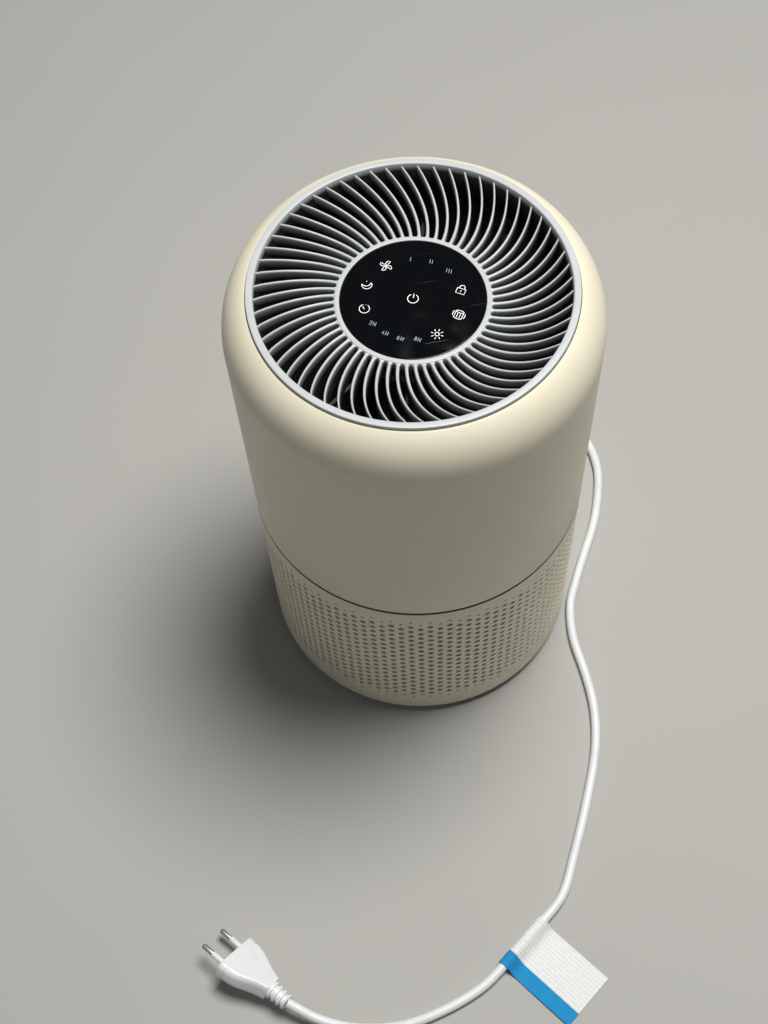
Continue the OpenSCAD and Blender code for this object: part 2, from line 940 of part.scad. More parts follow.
module power_cord() {
    color("white") tube(smooth(cord_route, rings_per_span), cord_r, cord_sides);
}

// Puts the plug's own frame (axis +X out of the pins) where the plug lies
module at_plug() {
    translate([plug_front.x, plug_front.y, plug_axis_z])
        rotate([0, 0, plug_turn])
            rotate([plug_roll, 0, 0])
                children();
}

module plug_body() {
    flange_l = 5;
    corner = 4.5;
    half_w = plug_w / 2;
    half_t = plug_t / 2;
    color("white") at_plug() difference() {
        // Outline across the width cut to the outline across the thickness
        intersection() {
            translate([0, 0, -half_t])
                linear_extrude(plug_t)
                    polygon([[0, -half_w], [0, half_w], [-flange_l, half_w],
                        [-flange_l, half_w - 0.8], [-14, half_w - 1.6],
                        [-24, 10.4], [-plug_l, 6.8], [-plug_l, -6.8],
                        [-24, -10.4], [-14, -half_w + 1.6],
                        [-flange_l, -half_w + 0.8], [-flange_l, -half_w]]);
            rotate([0, -90, 0])
                linear_extrude(plug_l)
                    polygon(concat(
                        arc(half_t - corner, half_w - corner, corner, corner, 0, 90, 5),
                        arc(corner - half_t, half_w - corner, corner, corner, 90, 180, 5),
                        arc(corner - half_t, corner - half_w, corner, corner, 180, 270, 5),
                        arc(half_t - corner, corner - half_w, corner, corner, 270, 360, 5)));
        }
        for (y = [-1, 1])
            translate([-6, y * pin_pitch / 2, 0])
                rotate([0, 90, 0])
                    cylinder(r = pin_r, h = 8);
    }
}

module plug_relief() {
    color("white") at_plug() rotate([0, -90, 0]) difference() {
        translate([0, 0, plug_l])
            cylinder(r1 = plug_neck_r, r2 = plug_neck_r - 1, h = plug_neck_l);
        for (x = [4.5, 9])
            translate([0, 0, plug_l + x])
                rotate_extrude()
                    translate([cord_r + 1.2, 0])
                        square([6, 1.4]);
    }
}

module plug_sleeves() {
    color("white") at_plug()
        for (y = [-1, 1])
            translate([0, y * pin_pitch / 2, 0])
                rotate([0, 90, 0])
                    difference() {
                        cylinder(r = pin_r, h = pin_sleeve_l);
                        translate([0, 0, -1])
                            cylinder(r = pin_r - 0.4, h = pin_sleeve_l + 2);
                    }
}

module plug_pins() {
    color("silver") at_plug()
        for (y = [-1, 1])
            translate([-6, y * pin_pitch / 2, 0])
                rotate([0, 90, 0]) {
                    cylinder(r = pin_r - 0.4, h = 6 + pin_l - 1);
                    translate([0, 0, 6 + pin_sleeve_l])
                        cylinder(r = pin_r, h = pin_l - pin_sleeve_l);
                }
}

module cord_tag() {
    loop_r = cord_r + tag_gap;
    color("white")
        translate([tag_start.x, tag_start.y, tag_z])
            rotate([0, 0, tag_turn])
                difference() {
                    union() {
                        rotate([0, 90, 0])
                            cylinder(r = loop_r + tag_t, h = tag_w);
                        translate([0, 0, -loop_r - tag_t])
                            cube([tag_w, tag_l, 2 * tag_t]);
                    }
                    translate([-1, 0, 0])
                        rotate([0, 90, 0])
                            cylinder(r = loop_r, h = tag_w + 2);
                }
}

// ------------------------------------------------------------------ filter

module filter_bottom_cap() {
    color("white") {
        ring(filter_core_r, filter_r, filter_z, cap_t);
        ring(filter_r - 1, filter_r, filter_z, 8);
    }
}

module filter_top_cap() {
    color("white") {
        ring(filter_core_r, filter_r, filter_top - cap_t, cap_t);
        ring(filter_r - 1, filter_r, filter_top - 8, 8);
    }
}

module hepa_pleats() {
    out_r = filter_r - 1.1 - pre_filter_t;
    color("snow") translate([0, 0, filter_z + cap_t])
        linear_extrude(filter_h - 2 * cap_t)
            difference() {
                polygon([for (i = [0 : 2 * pleat_count - 1])
                    let (r = i % 2 == 0 ? out_r : pleat_in_r + 5,
                        a = i * 180 / pleat_count)
                    [r * cos(a), r * sin(a)]]);
                circle(r = pleat_in_r);
            }
}

module carbon_bed() {
    color("dimgray") ring(pleat_in_r - 0.5 - carbon_t, pleat_in_r - 0.5,
        filter_z + cap_t, filter_h - 2 * cap_t);
}

module pre_filter() {
    color("gainsboro") ring(filter_r - 1 - pre_filter_t, filter_r - 1,
        filter_z + cap_t, filter_h - 2 * cap_t);
}

module core_screen() {
    color("silver") ring(filter_core_r, filter_core_r + screen_t,
        filter_z + cap_t, filter_h - 2 * cap_t);
}

module filter_seal() {
    color("gray") ring(filter_core_r + 1, filter_core_r + 10, filter_top, seal_h);
}

module filter_pull_tab() {
    strap_t = 1.2;
    strap_l = 2 * (filter_core_r + 6);
    color("white") {
        translate([-strap_l / 2, -8, filter_z - strap_t])
            cube([strap_l, 16, strap_t]);
        translate([-14, -8, filter_z - strap_t - 2.4])
            cube([28, 16, 2.4]);
    }
}

// -------------------------------------------------------------- base cover

module base_cover() {
    color("ivory") difference() {
        union() {
            rotate_extrude()
                polygon([[grip_r, cover_z], [cover_r - 1, cover_z],
                    [cover_r, cover_z + 1], [cover_r, cover_z + cover_rim_h],
                    [cover_r - 2.5, cover_z + cover_rim_h],
                    [cover_r - 2.5, cover_plate_top],
                    [grip_r, cover_plate_top]]);
            // Finger recess with its bar
            ring(grip_r - 0.1, grip_r + 2, cover_z, grip_h);
            disc(grip_r, cover_z + grip_h - 2, 2);
            translate([-grip_r - 0.5, -5, cover_z])
                cube([2 * grip_r + 1, 10, grip_h - 1]);
            // Rings that carry the filter
            ring(rib_inner_r, rib_inner_r + rib_t, cover_plate_top - 0.1,
                rib_top - cover_plate_top + 0.1);
            ring(rib_outer_r, rib_outer_r + rib_t, cover_plate_top - 0.1,
                rib_top - cover_plate_top + 0.1);
            // Bayonet lugs
            around(lug_count, 45 - lug_angle / 2)
                rotate_extrude(angle = lug_angle)
                    translate([cover_r - 1, lug_z])
                        square([lug_reach, lug_h]);
        }
        around(4, 45)
            translate([foot_circle, 0, 0])
                disc(3, cover_z - 1, cover_t + 2);
    }
}

module rubber_feet() {
    color("dimgray") around(4, 45)
        translate([foot_circle, 0, 0]) {
            translate([0, 0, 1])
                cylinder(r = foot_r, h = foot_h - 1);
            cylinder(r1 = foot_r - 0.8, r2 = foot_r, h = 1);
            disc(3, cover_z - 0.1, cover_t + 0.1);
        }
}

module rating_label() {
    color("lightgray") translate([-24, -76, cover_z - 0.3])
        cube([48, 26, 0.3]);
}

upper_housing();
lower_housing();
top_grille();
panel_lens();
light_diffuser();
control_board();
ribbon_cable();
air_duct();
motor_pod();
guide_vanes();
motor_case();
motor_stator();
motor_windings();
motor_bearings();
motor_bushes();
motor_screws();
motor_shaft();
motor_rotor();
impeller();
impeller_shroud();
impeller_blades();
impeller_washer();
impeller_nut();
inlet_plate();
inlet_guard();
plate_screws();
shell_screws();
power_board();
board_components();
board_bracket();
board_screws();
mains_lead();
motor_lead();
wire_cover();
cord_clamp();
strain_relief();
power_cord();
plug_body();
plug_relief();
plug_sleeves();
plug_pins();
cord_tag();
filter_bottom_cap();
filter_top_cap();
hepa_pleats();
carbon_bed();
pre_filter();
core_screen();
filter_seal();
filter_pull_tab();
base_cover();
rubber_feet();
rating_label();
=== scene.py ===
import math

import bpy
from bpy.props import (
    FloatProperty,
    FloatVectorProperty,
    IntProperty,
    PointerProperty,
)
from mathutils import Matrix, Vector


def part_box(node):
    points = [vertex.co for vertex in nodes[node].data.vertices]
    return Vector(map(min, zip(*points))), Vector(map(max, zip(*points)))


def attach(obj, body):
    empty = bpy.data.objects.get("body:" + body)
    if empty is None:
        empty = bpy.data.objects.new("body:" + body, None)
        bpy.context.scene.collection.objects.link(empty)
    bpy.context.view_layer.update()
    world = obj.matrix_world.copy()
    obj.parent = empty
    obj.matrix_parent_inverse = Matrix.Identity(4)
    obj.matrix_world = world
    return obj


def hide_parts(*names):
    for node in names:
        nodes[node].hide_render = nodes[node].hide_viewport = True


bl_info = {
    "name": "Air purifier",
    "version": (1, 0, 0),
    "blender": (4, 5, 0),
    "location": "3D View > Sidebar > Air purifier",
    "description": "Builds the visible pieces of a cylindrical air purifier round its frame",
    "category": "Object",
}

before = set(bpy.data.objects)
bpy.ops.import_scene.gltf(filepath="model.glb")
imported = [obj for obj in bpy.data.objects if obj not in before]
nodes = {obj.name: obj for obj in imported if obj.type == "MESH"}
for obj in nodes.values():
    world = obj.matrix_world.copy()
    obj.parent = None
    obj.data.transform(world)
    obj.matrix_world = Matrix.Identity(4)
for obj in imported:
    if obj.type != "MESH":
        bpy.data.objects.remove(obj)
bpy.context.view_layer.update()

MM = 0.001
TURN = 2 * math.pi
WELD = 0.001 * MM

# Levels and radii that the frame gives, in metres
shell_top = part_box("upper_housing")[1]
shell_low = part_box("upper_housing")[0]
lower_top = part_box("lower_housing")[1]
foot_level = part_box("lower_housing")[0].z
grille_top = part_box("top_grille")[1]
lens_low, lens_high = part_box("panel_lens")
BODY_R = shell_top.x
RING_R = grille_top.x
RING_Z = grille_top.z
LENS_R = lens_high.x
PANEL_Z = lens_high.z + 0.2 * MM
VANE_LOW_Z = PANEL_Z - 12 * MM
RIM_R = RING_R + 0.4 * MM  # the upper shell's rim, with a gap round the ring


def linear(code):
    """The linear colour, with alpha 1, of an sRGB hex code."""
    parts = [int(code[i:i + 2], 16) / 255 for i in (0, 2, 4)]
    return tuple(p / 12.92 if p <= 0.04045 else ((p + 0.055) / 1.055) ** 2.4
                 for p in parts) + (1.0,)


# ---------------------------------------------------------------- settings


def length(name, description, default):
    """A length property whose default is in millimetres."""
    return FloatProperty(name=name, description=description, default=default * MM,
                         min=0, precision=4, subtype="DISTANCE", unit="LENGTH")


def colour(name, description, default):
    """A colour property whose default is an sRGB hex code."""
    return FloatVectorProperty(name=name, description=description, size=3, min=0, max=1,
                               default=linear(default)[:3], subtype="COLOR")


class ShellSettings(bpy.types.PropertyGroup):
    foot_r: length("Foot radius", "Radius of the lower shell where it meets its foot", 108.6)
    wall: length("Wall", "Thickness of the shells", 2.5)
    shoulder_reach: length("Shoulder reach", "Horizontal reach of the shoulder curve", 27)
    shoulder_rise: length("Shoulder rise", "Vertical reach of the shoulder curve", 32)
    hole_d: length("Hole diameter", "Diameter of an air intake hole", 4)
    small_hole_d: length("Small hole diameter", "Diameter of the holes in the end rows", 2)
    row_pitch: length("Row pitch", "Height from one row of holes to the next", 6.94)
    first_row: length("First row", "Height of the lowest row of full holes", 34)
    column_pairs: IntProperty(name="Column pairs", description="Pairs of staggered hole columns",
                              default=54, min=12)
    plastic: colour("Shell colour", "Ivory of both shells", "EDE6CF")


class GrilleSettings(bpy.types.PropertyGroup):
    vanes: IntProperty(name="Vanes", description="Spiral vanes in the outlet", default=60, min=12)
    sweep: FloatProperty(name="Sweep", description="Angle that a vane turns through",
                         default=math.radians(15), subtype="ANGLE", unit="ROTATION")
    hub_t: length("Vane at hub", "Thickness of a vane at the hub", 1.9)
    rim_t: length("Vane at ring", "Thickness of a vane at the ring", 1.3)
    ring_w: length("Ring width", "Width of the flat top of the ring", 4.2)
    bezel_w: length("Bezel", "Width of the pale rim round the panel", 3.2)
    dish_power: FloatProperty(name="Dish", description="How late the vane tops rise towards the ring",
                              default=2.6, min=1)
    plastic: colour("Grille colour", "Pale grey of the grille and its bezel", "BEC2C4")


class PanelSettings(bpy.types.PropertyGroup):
    symbol_r: length("Symbol circle", "Radius of the circle that the symbols stand on", 28)
    line_w: length("Line width", "Width of a symbol's lines", 0.36)
    glass: colour("Panel colour", "Black of the glossy panel", "08090C")
    ink: colour("Symbol colour", "White of the lit symbols", "F2F5F7")
    cool_ink: colour("Dim symbol colour", "Blue-white of the steps and hours", "A9C6D6")


class FilterSettings(bpy.types.PropertyGroup):
    pleats: IntProperty(name="Pleats", description="Pleats round the filter", default=90, min=30)
    net_columns: IntProperty(name="Net columns", description="Cells round the net", default=120,
                             min=30)
    net_rows: IntProperty(name="Net rows", description="Cells up the net", default=28, min=6)
    wire_d: length("Net thread", "Thickness of the net's threads", 0.7)


class CordSettings(bpy.types.PropertyGroup):
    cord_d: length("Cord diameter", "Diameter of the mains cord", 6.5)
    plug_l: length("Plug length", "Length of the plug's body", 34)
    plug_w: length("Plug width", "Width of the plug's body", 35)
    plug_t: length("Plug thickness", "Thickness of the plug's body", 13.7)
    pin_pitch: length("Pin pitch", "Distance between the pins", 18.6)
    tag_w: length("Tag width", "Width of the paper tag along the cord", 41)
    stripe_w: length("Stripe", "Width of the blue band on the tag", 10.5)
    sheath: colour("Cord colour", "White of the cord and the plug", "E9ECEE")
    stripe: colour("Stripe colour", "Blue of the band on the tag", "1C92CE")


class StageSettings(bpy.types.PropertyGroup):
    lens: FloatProperty(name="Lens", description="Focal length on a 36 mm sensor, in millimetres",
                        default=53.2, min=10)
    roll: FloatProperty(name="Roll", description="Turn of the camera about its own axis",
                        default=math.radians(-3.88), subtype="ANGLE", unit="ROTATION")
    key_w: FloatProperty(name="Key light", description="Power of the large light above, in watts",
                         default=58, min=0)
    fill_w: FloatProperty(name="Fill light",
                          description="Power of the light over the front, in watts",
                          default=1.2, min=0)
    ambient: FloatProperty(name="Ambient", description="Strength of the surrounding light",
                           default=0.08, min=0)
    floor: colour("Floor colour", "Pale grey of the floor", "B4B3AF")


class PurifierSettings(bpy.types.PropertyGroup):
    shell: PointerProperty(type=ShellSettings)
    grille: PointerProperty(type=GrilleSettings)
    panel: PointerProperty(type=PanelSettings)
    filter: PointerProperty(type=FilterSettings)
    cord: PointerProperty(type=CordSettings)
    stage: PointerProperty(type=StageSettings)


def settings():
    return bpy.context.scene.purifier


# ------------------------------------------------------------- mesh making


def clear_selection():
    active = bpy.context.view_layer.objects.active
    if active and active.mode != "OBJECT":
        bpy.ops.object.mode_set(mode="OBJECT")
    bpy.ops.object.select_all(action="DESELECT")


def make_active(piece):
    clear_selection()
    piece.select_set(True)
    bpy.context.view_layer.objects.active = piece


def edit(piece):
    make_active(piece)
    bpy.ops.object.mode_set(mode="EDIT")


def shift(step):
    """Moves all of the mesh that is being edited."""
    bpy.ops.mesh.select_all(action="SELECT")
    bpy.ops.transform.translate(value=step)


def turn_all(degrees):
    """Turns all of the mesh that is being edited round the Z axis."""
    bpy.ops.mesh.select_all(action="SELECT")
    bpy.ops.transform.rotate(value=math.radians(degrees), orient_axis="Z",
                             center_override=(0, 0, 0))


def weld():
    bpy.ops.mesh.select_all(action="SELECT")
    bpy.ops.mesh.remove_doubles(threshold=WELD)


def outward():
    bpy.ops.mesh.select_all(action="SELECT")
    bpy.ops.mesh.normals_make_consistent(inside=False)


def extrude(step):
    bpy.ops.mesh.extrude_region_move(TRANSFORM_OT_translate={"value": step})


def chain(name, points):
    """A new piece, left in edit mode, that is one line through the points."""
    clear_selection()
    bpy.ops.mesh.primitive_plane_add(size=MM, location=(0, 0, 0))
    piece = bpy.context.object
    piece.name = name
    piece.data.name = name
    bpy.context.tool_settings.mesh_select_mode = (True, False, False)
    bpy.ops.object.mode_set(mode="EDIT")
    bpy.ops.mesh.merge(type="CENTER")
    bpy.ops.transform.translate(value=points[0])
    for before, after in zip(points, points[1:]):
        extrude(Vector(after) - Vector(before))
    return piece


def lathe(name, outline, steps=160, angle=TURN, closed=True):
    """A piece spun round the Z axis from (radius, height) points, left in edit mode."""
    points = [(r, 0, z) for r, z in outline]
    if closed:
        points.append(points[0])
    piece = chain(name, points)
    weld()
    bpy.ops.mesh.spin(steps=steps, angle=angle, center=(0, 0, 0), axis=(0, 0, 1))
    weld()
    outward()
    return piece


def loft(name, outline, stations):
    """A solid along X from (y, z) points, resized at each (x, y scale, z scale) station."""
    x, wide, high = stations[0]
    points = [(x, y * wide, z * high) for y, z in outline]
    piece = chain(name, points + points[:1])
    weld()
    bpy.ops.mesh.edge_face_add()
    for new_x, new_wide, new_high in stations[1:]:
        extrude((new_x - x, 0, 0))
        bpy.ops.transform.resize(value=(1, new_wide / wide, new_high / high),
                                 center_override=(new_x, 0, 0))
        x, wide, high = new_x, new_wide, new_high
    outward()
    return piece


def copy_round(count):
    """Copies all of the mesh that is being edited round the Z axis."""
    bpy.ops.mesh.select_all(action="SELECT")
    bpy.ops.mesh.spin(steps=count - 1, dupli=True, angle=TURN * (count - 1) / count,
                      center=(0, 0, 0), axis=(0, 0, 1))


def reshape(piece, place_of):
    """Moves each vertex of the piece to the place that the function gives for it."""
    clear_selection()
    for vertex in piece.data.vertices:
        vertex.co = place_of(vertex.co.copy())
    piece.data.update()


def note_depth(piece, depths):
    """Stores on each vertex how deep it lies, for the painted shade that darkens a finish with depth.
    """
    layer = piece.data.attributes.new("depth", "FLOAT", "POINT")
    layer.data.foreach_set("value", depths)


def pick(piece, kind, test):
    """Selects the vertices, edges or polygons that pass the test, in edit mode."""
    make_active(piece)
    for part in (piece.data.vertices, piece.data.edges, piece.data.polygons):
        part.foreach_set("select", [False] * len(part))
    for item in getattr(piece.data, kind):
        item.select = test(item)
    mode = {"vertices": "VERT", "edges": "EDGE", "polygons": "FACE"}[kind]
    bpy.context.tool_settings.mesh_select_mode = [mode == m for m in ("VERT", "EDGE", "FACE")]
    bpy.ops.object.mode_set(mode="EDIT")


def apply_modifier(piece, kind, **values):
    make_active(piece)
    modifier = piece.modifiers.new(kind.title(), kind)
    for name, value in values.items():
        setattr(modifier, name, value)
    bpy.ops.object.modifier_apply(modifier=modifier.name)


def join(name, pieces):
    make_active(pieces[0])
    for piece in pieces[1:]:
        piece.select_set(True)
    if len(pieces) > 1:
        bpy.ops.object.join()
    pieces[0].name = name
    pieces[0].data.name = name
    return pieces[0]


def done(piece, body, finishes, replaced=(), smooth=30):
    """Puts the piece's place in its mesh, shades it, gives it its finishes if it has none, hands it
    to its body and hides the frame nodes that it replaces.
    """
    make_active(piece)
    bpy.ops.object.transform_apply(location=True, rotation=True, scale=True)
    bpy.ops.object.shade_smooth_by_angle(angle=math.radians(smooth))
    if not piece.data.materials:
        for finish in finishes:
            piece.data.materials.append(finish)
    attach(piece, body)
    if replaced:
        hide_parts(*replaced)


def arc(centre, radii, start, end, count):
    """Points on an arc of an ellipse, its angles in degrees."""
    angles = [math.radians(start + (end - start) * i / count) for i in range(count + 1)]
    return [(centre[0] + radii[0] * math.cos(a), centre[1] + radii[1] * math.sin(a))
            for a in angles]


# --------------------------------------------------------------- materials


def add(tree, kind, inputs=None, **values):
    """Adds a node, gives it its settings, and fills or links its inputs."""
    made = tree.nodes.new(kind)
    for name, value in values.items():
        setattr(made, name, value)
    for name, value in (inputs or {}).items():
        if isinstance(value, bpy.types.NodeSocket):
            tree.links.new(value, made.inputs[name])
        else:
            made.inputs[name].default_value = value
    return made


def start_finish(name, base, roughness, **sockets):
    """A material with its constants set; gives it, its tree, its shader and its coordinates."""
    material = bpy.data.materials.new(name)
    material.use_nodes = True
    tree = material.node_tree
    shader = tree.nodes["Principled BSDF"]
    shader.inputs["Base Color"].default_value = base
    shader.inputs["Roughness"].default_value = roughness
    for socket, value in sockets.items():
        shader.inputs[socket.replace("_", " ")].default_value = value
    place = add(tree, "ShaderNodeTexCoord").outputs["Object"]
    return material, tree, shader, place


def two_tone(tree, shader, factor, low, high):
    """Blends the base colour between two colours by a factor."""
    blend = add(tree, "ShaderNodeMix", {"Factor": factor}, data_type="RGBA")
    blend.inputs["A"].default_value = low
    blend.inputs["B"].default_value = high
    tree.links.new(blend.outputs["Result"], shader.inputs["Base Color"])


def noise(tree, place, size, detail=3.0):
    """Noise whose blotches are about this size, in metres."""
    return add(tree, "ShaderNodeTexNoise",
               {"Vector": place, "Scale": 1 / size, "Detail": detail}).outputs["Fac"]


def raise_surface(tree, shader, height, depth):
    """Bump of this depth, in metres, from a height of 0 to 1."""
    bump = add(tree, "ShaderNodeBump", {"Height": height, "Distance": depth, "Strength": 1.0})
    tree.links.new(bump.outputs["Normal"], shader.inputs["Normal"])


def spread(tree, factor, low, high, out_low=0.0, out_high=1.0):
    """Maps a factor between two limits onto two other limits."""
    return add(tree, "ShaderNodeMapRange",
               {"Value": factor, "From Min": low, "From Max": high,
                "To Min": out_low, "To Max": out_high}).outputs["Result"]


def shade(colour_value, factor):
    return tuple(c * factor for c in colour_value[:3]) + (1.0,)


def moulded_abs(name, base, roughness=0.42, grain=0.5, depth=0.02):
    """Injection-moulded ABS from a spark-eroded tool: an even, fine matt grain, a soft wide
    highlight, and slow drifts of tone where the melt cooled. The grain is drawn coarser than
    the real 0.1 mm so that it shows."""
    material, tree, shader, place = start_finish(name, base, roughness, IOR=1.54)
    drift = spread(tree, noise(tree, place, 60 * MM, 2), 0.35, 0.65)
    two_tone(tree, shader, drift, shade(base, 0.965), shade(base, 1.0))
    wear = spread(tree, noise(tree, place, 9 * MM, 4), 0.3, 0.7, roughness - 0.05, roughness + 0.06)
    tree.links.new(wear, shader.inputs["Roughness"])
    raise_surface(tree, shader, noise(tree, place, grain * MM, 2), depth * MM)
    return material


def moulded_epoxy(name, base):
    """Transfer-moulded black epoxy and phenolic packages: satin, with a faint grain."""
    return moulded_abs(name, base, roughness=0.5, grain=0.4)


def painted_depth_shade(material, low, near, far):
    """Darkens a finish with the piece's own depth attribute, in metres: painted shade that blends
    the clean colour towards low from near to far, deep in the slots where little light reaches."""
    tree = material.node_tree
    shader = tree.nodes["Principled BSDF"]
    clean = shader.inputs["Base Color"].links[0].from_socket
    depth = add(tree, "ShaderNodeAttribute", attribute_name="depth").outputs["Fac"]
    # Painted shade: the clean colour blends towards the shade colour with depth
    dust_and_shade = add(tree, "ShaderNodeMix", {"Factor": spread(tree, depth, near, far)}, data_type="RGBA")
    tree.links.new(clean, dust_and_shade.inputs["A"])
    dust_and_shade.inputs["B"].default_value = low
    tree.links.new(dust_and_shade.outputs["Result"], shader.inputs["Base Color"])
    return material


def gloss_acrylic(name, base):
    """Back-printed black acrylic, hard and glossy: mirror-like, with a few long hair scratches and
    faint fingerprints that only change the gloss."""
    material, tree, shader, place = start_finish(name, base, 0.08, IOR=1.49, Specular_IOR_Level=0.3)
    turned = add(tree, "ShaderNodeMapping",
                 {"Vector": place, "Rotation": (0, 0, math.radians(-33))})
    long_way = add(tree, "ShaderNodeMapping",
                   {"Vector": turned.outputs["Vector"], "Scale": (0.02, 1, 1)})
    lines = noise(tree, long_way.outputs["Vector"], 2.2 * MM, 6)
    hair = spread(tree, lines, 0.69, 0.73)
    smear = spread(tree, noise(tree, place, 14 * MM, 5), 0.45, 0.75, 0.06, 0.2)
    gloss = add(tree, "ShaderNodeMath", {0: smear, 1: hair}, operation="MAXIMUM")
    two_tone(tree, shader, hair, base, linear("2A2C30"))
    capped = add(tree, "ShaderNodeMath", {0: gloss.outputs[0], 1: 0.4}, operation="MINIMUM")
    tree.links.new(capped.outputs[0], shader.inputs["Roughness"])
    return material


def lit_ink(name, base, glow):
    """Translucent window ink lit from behind by a small lamp: it glows a little and is uneven."""
    material, tree, shader, place = start_finish(
        name, base, 0.5, Emission_Color=base, Emission_Strength=glow)
    uneven = spread(tree, noise(tree, place, 3 * MM), 0.3, 0.7)
    two_tone(tree, shader, uneven, shade(base, 0.8), base)
    return material


def soft_pvc(name, base, roughness=0.36, ripple=2.5):
    """Plasticised PVC, extruded or moulded: slightly waxy, with a shallow ripple and rubbed,
    faintly grey patches from handling."""
    material, tree, shader, place = start_finish(
        name, base, roughness, IOR=1.53, Subsurface_Weight=0.06, Subsurface_Scale=2 * MM)
    rubbed = spread(tree, noise(tree, place, 18 * MM, 5), 0.5, 0.75)
    two_tone(tree, shader, rubbed, base, shade(base, 0.9))
    tree.links.new(spread(tree, rubbed, 0, 1, roughness, roughness + 0.14),
                   shader.inputs["Roughness"])
    raise_surface(tree, shader, noise(tree, place, ripple * MM, 2), 0.05 * MM)
    return material


def plated_metal(name, base, roughness, scratch=0.4):
    """Plated or bright-drawn metal: shiny, with fine rub marks."""
    material, tree, shader, place = start_finish(name, base, roughness, Metallic=1.0)
    rubs = noise(tree, place, scratch * MM, 6)
    tree.links.new(spread(tree, rubs, 0.3, 0.7, roughness * 0.7, roughness * 1.5),
                   shader.inputs["Roughness"])
    two_tone(tree, shader, noise(tree, place, 6 * MM), shade(base, 0.86), base)
    raise_surface(tree, shader, rubs, 0.01 * MM)
    return material


def wave(tree, place, pitch, axis, distortion=0.0):
    """Waves this far apart, in metres, along one axis."""
    return add(tree, "ShaderNodeTexWave",
               {"Vector": place, "Scale": TURN / (20 * pitch), "Distortion": distortion},
               bands_direction=axis).outputs["Fac"]


def laminated_iron(name, base):
    """Punched silicon-steel sheets, each 0.5 mm thick: fine level lines with dull edges."""
    material, tree, shader, place = start_finish(name, base, 0.45, Metallic=0.9)
    sheets = wave(tree, place, 0.5 * MM, "Z", 0.4)
    two_tone(tree, shader, sheets, shade(base, 0.5), base)
    raise_surface(tree, shader, sheets, 0.1 * MM)
    return material


def enamelled_copper(name, base):
    """Enamelled copper wire, wound tightly: warm metal with a line for every 0.6 mm turn."""
    material, tree, shader, place = start_finish(name, base, 0.3, Metallic=0.85, Coat_Weight=0.6)
    turns = wave(tree, place, 0.6 * MM, "Z", 0.6)
    two_tone(tree, shader, turns, shade(base, 0.45), base)
    raise_surface(tree, shader, turns, 0.25 * MM)
    return material


def circuit_laminate(name, base):
    """Glass-epoxy board under green solder mask: semi-gloss, with paler copper tracks showing
    through on a grid of bricks, drawn coarse so that they show."""
    material, tree, shader, place = start_finish(name, base, 0.32, IOR=1.55)
    tracks = add(tree, "ShaderNodeTexBrick",
                 {"Vector": place, "Scale": 1 / (10 * MM), "Mortar Size": 0.03,
                  "Color1": (0, 0, 0, 1), "Color2": (0.25, 0.25, 0.25, 1),
                  "Mortar": (1, 1, 1, 1)})
    two_tone(tree, shader, tracks.outputs["Color"], base, linear("3E7A4C"))
    raise_surface(tree, shader, tracks.outputs["Color"], 0.04 * MM)
    return material


def moulded_rubber(name, base, roughness=0.8):
    """Moulded rubber or foam: matt, with fine pores and a pale, powdery bloom."""
    material, tree, shader, place = start_finish(name, base, roughness)
    pores = add(tree, "ShaderNodeTexVoronoi", {"Vector": place, "Scale": 1 / (1.1 * MM)})
    dust_and_shade = spread(tree, noise(tree, place, 7 * MM, 5), 0.4, 0.75)
    two_tone(tree, shader, dust_and_shade, base, shade(base, 1.6))
    raise_surface(tree, shader, pores.outputs["Distance"], 0.15 * MM)
    return material


def felted_fleece(name, base):
    """Non-woven polyester fleece or filter paper: matt, with fibres lying every way and small
    bonded dimples 2 mm apart."""
    material, tree, shader, place = start_finish(name, base, 0.95, Sheen_Weight=0.3)
    fibres = noise(tree, place, 0.7 * MM, 8)
    dimples = add(tree, "ShaderNodeTexVoronoi", {"Vector": place, "Scale": 1 / (2 * MM)})
    two_tone(tree, shader, fibres, shade(base, 0.78), base)
    height = add(tree, "ShaderNodeMath", {0: fibres, 1: dimples.outputs["Distance"]},
                 operation="ADD")
    raise_surface(tree, shader, height.outputs[0], 0.2 * MM)
    return material


def carbon_granules(name, base):
    """Broken coconut-shell carbon in 2 to 3 mm grains: near black, each grain its own tone."""
    material, tree, shader, place = start_finish(name, base, 0.6)
    grains = add(tree, "ShaderNodeTexVoronoi", {"Vector": place, "Scale": 1 / (2.6 * MM)})
    two_tone(tree, shader, grains.outputs["Color"], shade(base, 0.5), shade(base, 2.2))
    raise_surface(tree, shader, grains.outputs["Distance"], 1.2 * MM)
    return material


def perforated_liner(name, base):
    """Perforated polypropylene sheet round the carbon: round holes every 3 mm that show dark."""
    material, tree, shader, place = start_finish(name, base, 0.5)
    holes = add(tree, "ShaderNodeTexVoronoi",
                {"Vector": place, "Scale": 1 / (3 * MM), "Randomness": 0.15})
    edge = spread(tree, holes.outputs["Distance"], 0.26, 0.32)
    two_tone(tree, shader, edge, linear("17181A"), base)
    raise_surface(tree, shader, edge, 0.4 * MM)
    return material


def woven_strap(name, base):
    """Flat woven polyester tape, 1.2 mm ribs across: soft sheen between the ribs."""
    material, tree, shader, place = start_finish(name, base, 0.85, Sheen_Weight=0.4)
    weave = add(tree, "ShaderNodeMath",
                {0: wave(tree, place, 1.2 * MM, "X"), 1: wave(tree, place, 0.8 * MM, "Y")},
                operation="MULTIPLY")
    two_tone(tree, shader, weave.outputs[0], shade(base, 0.7), base)
    raise_surface(tree, shader, weave.outputs[0], 0.2 * MM)
    return material


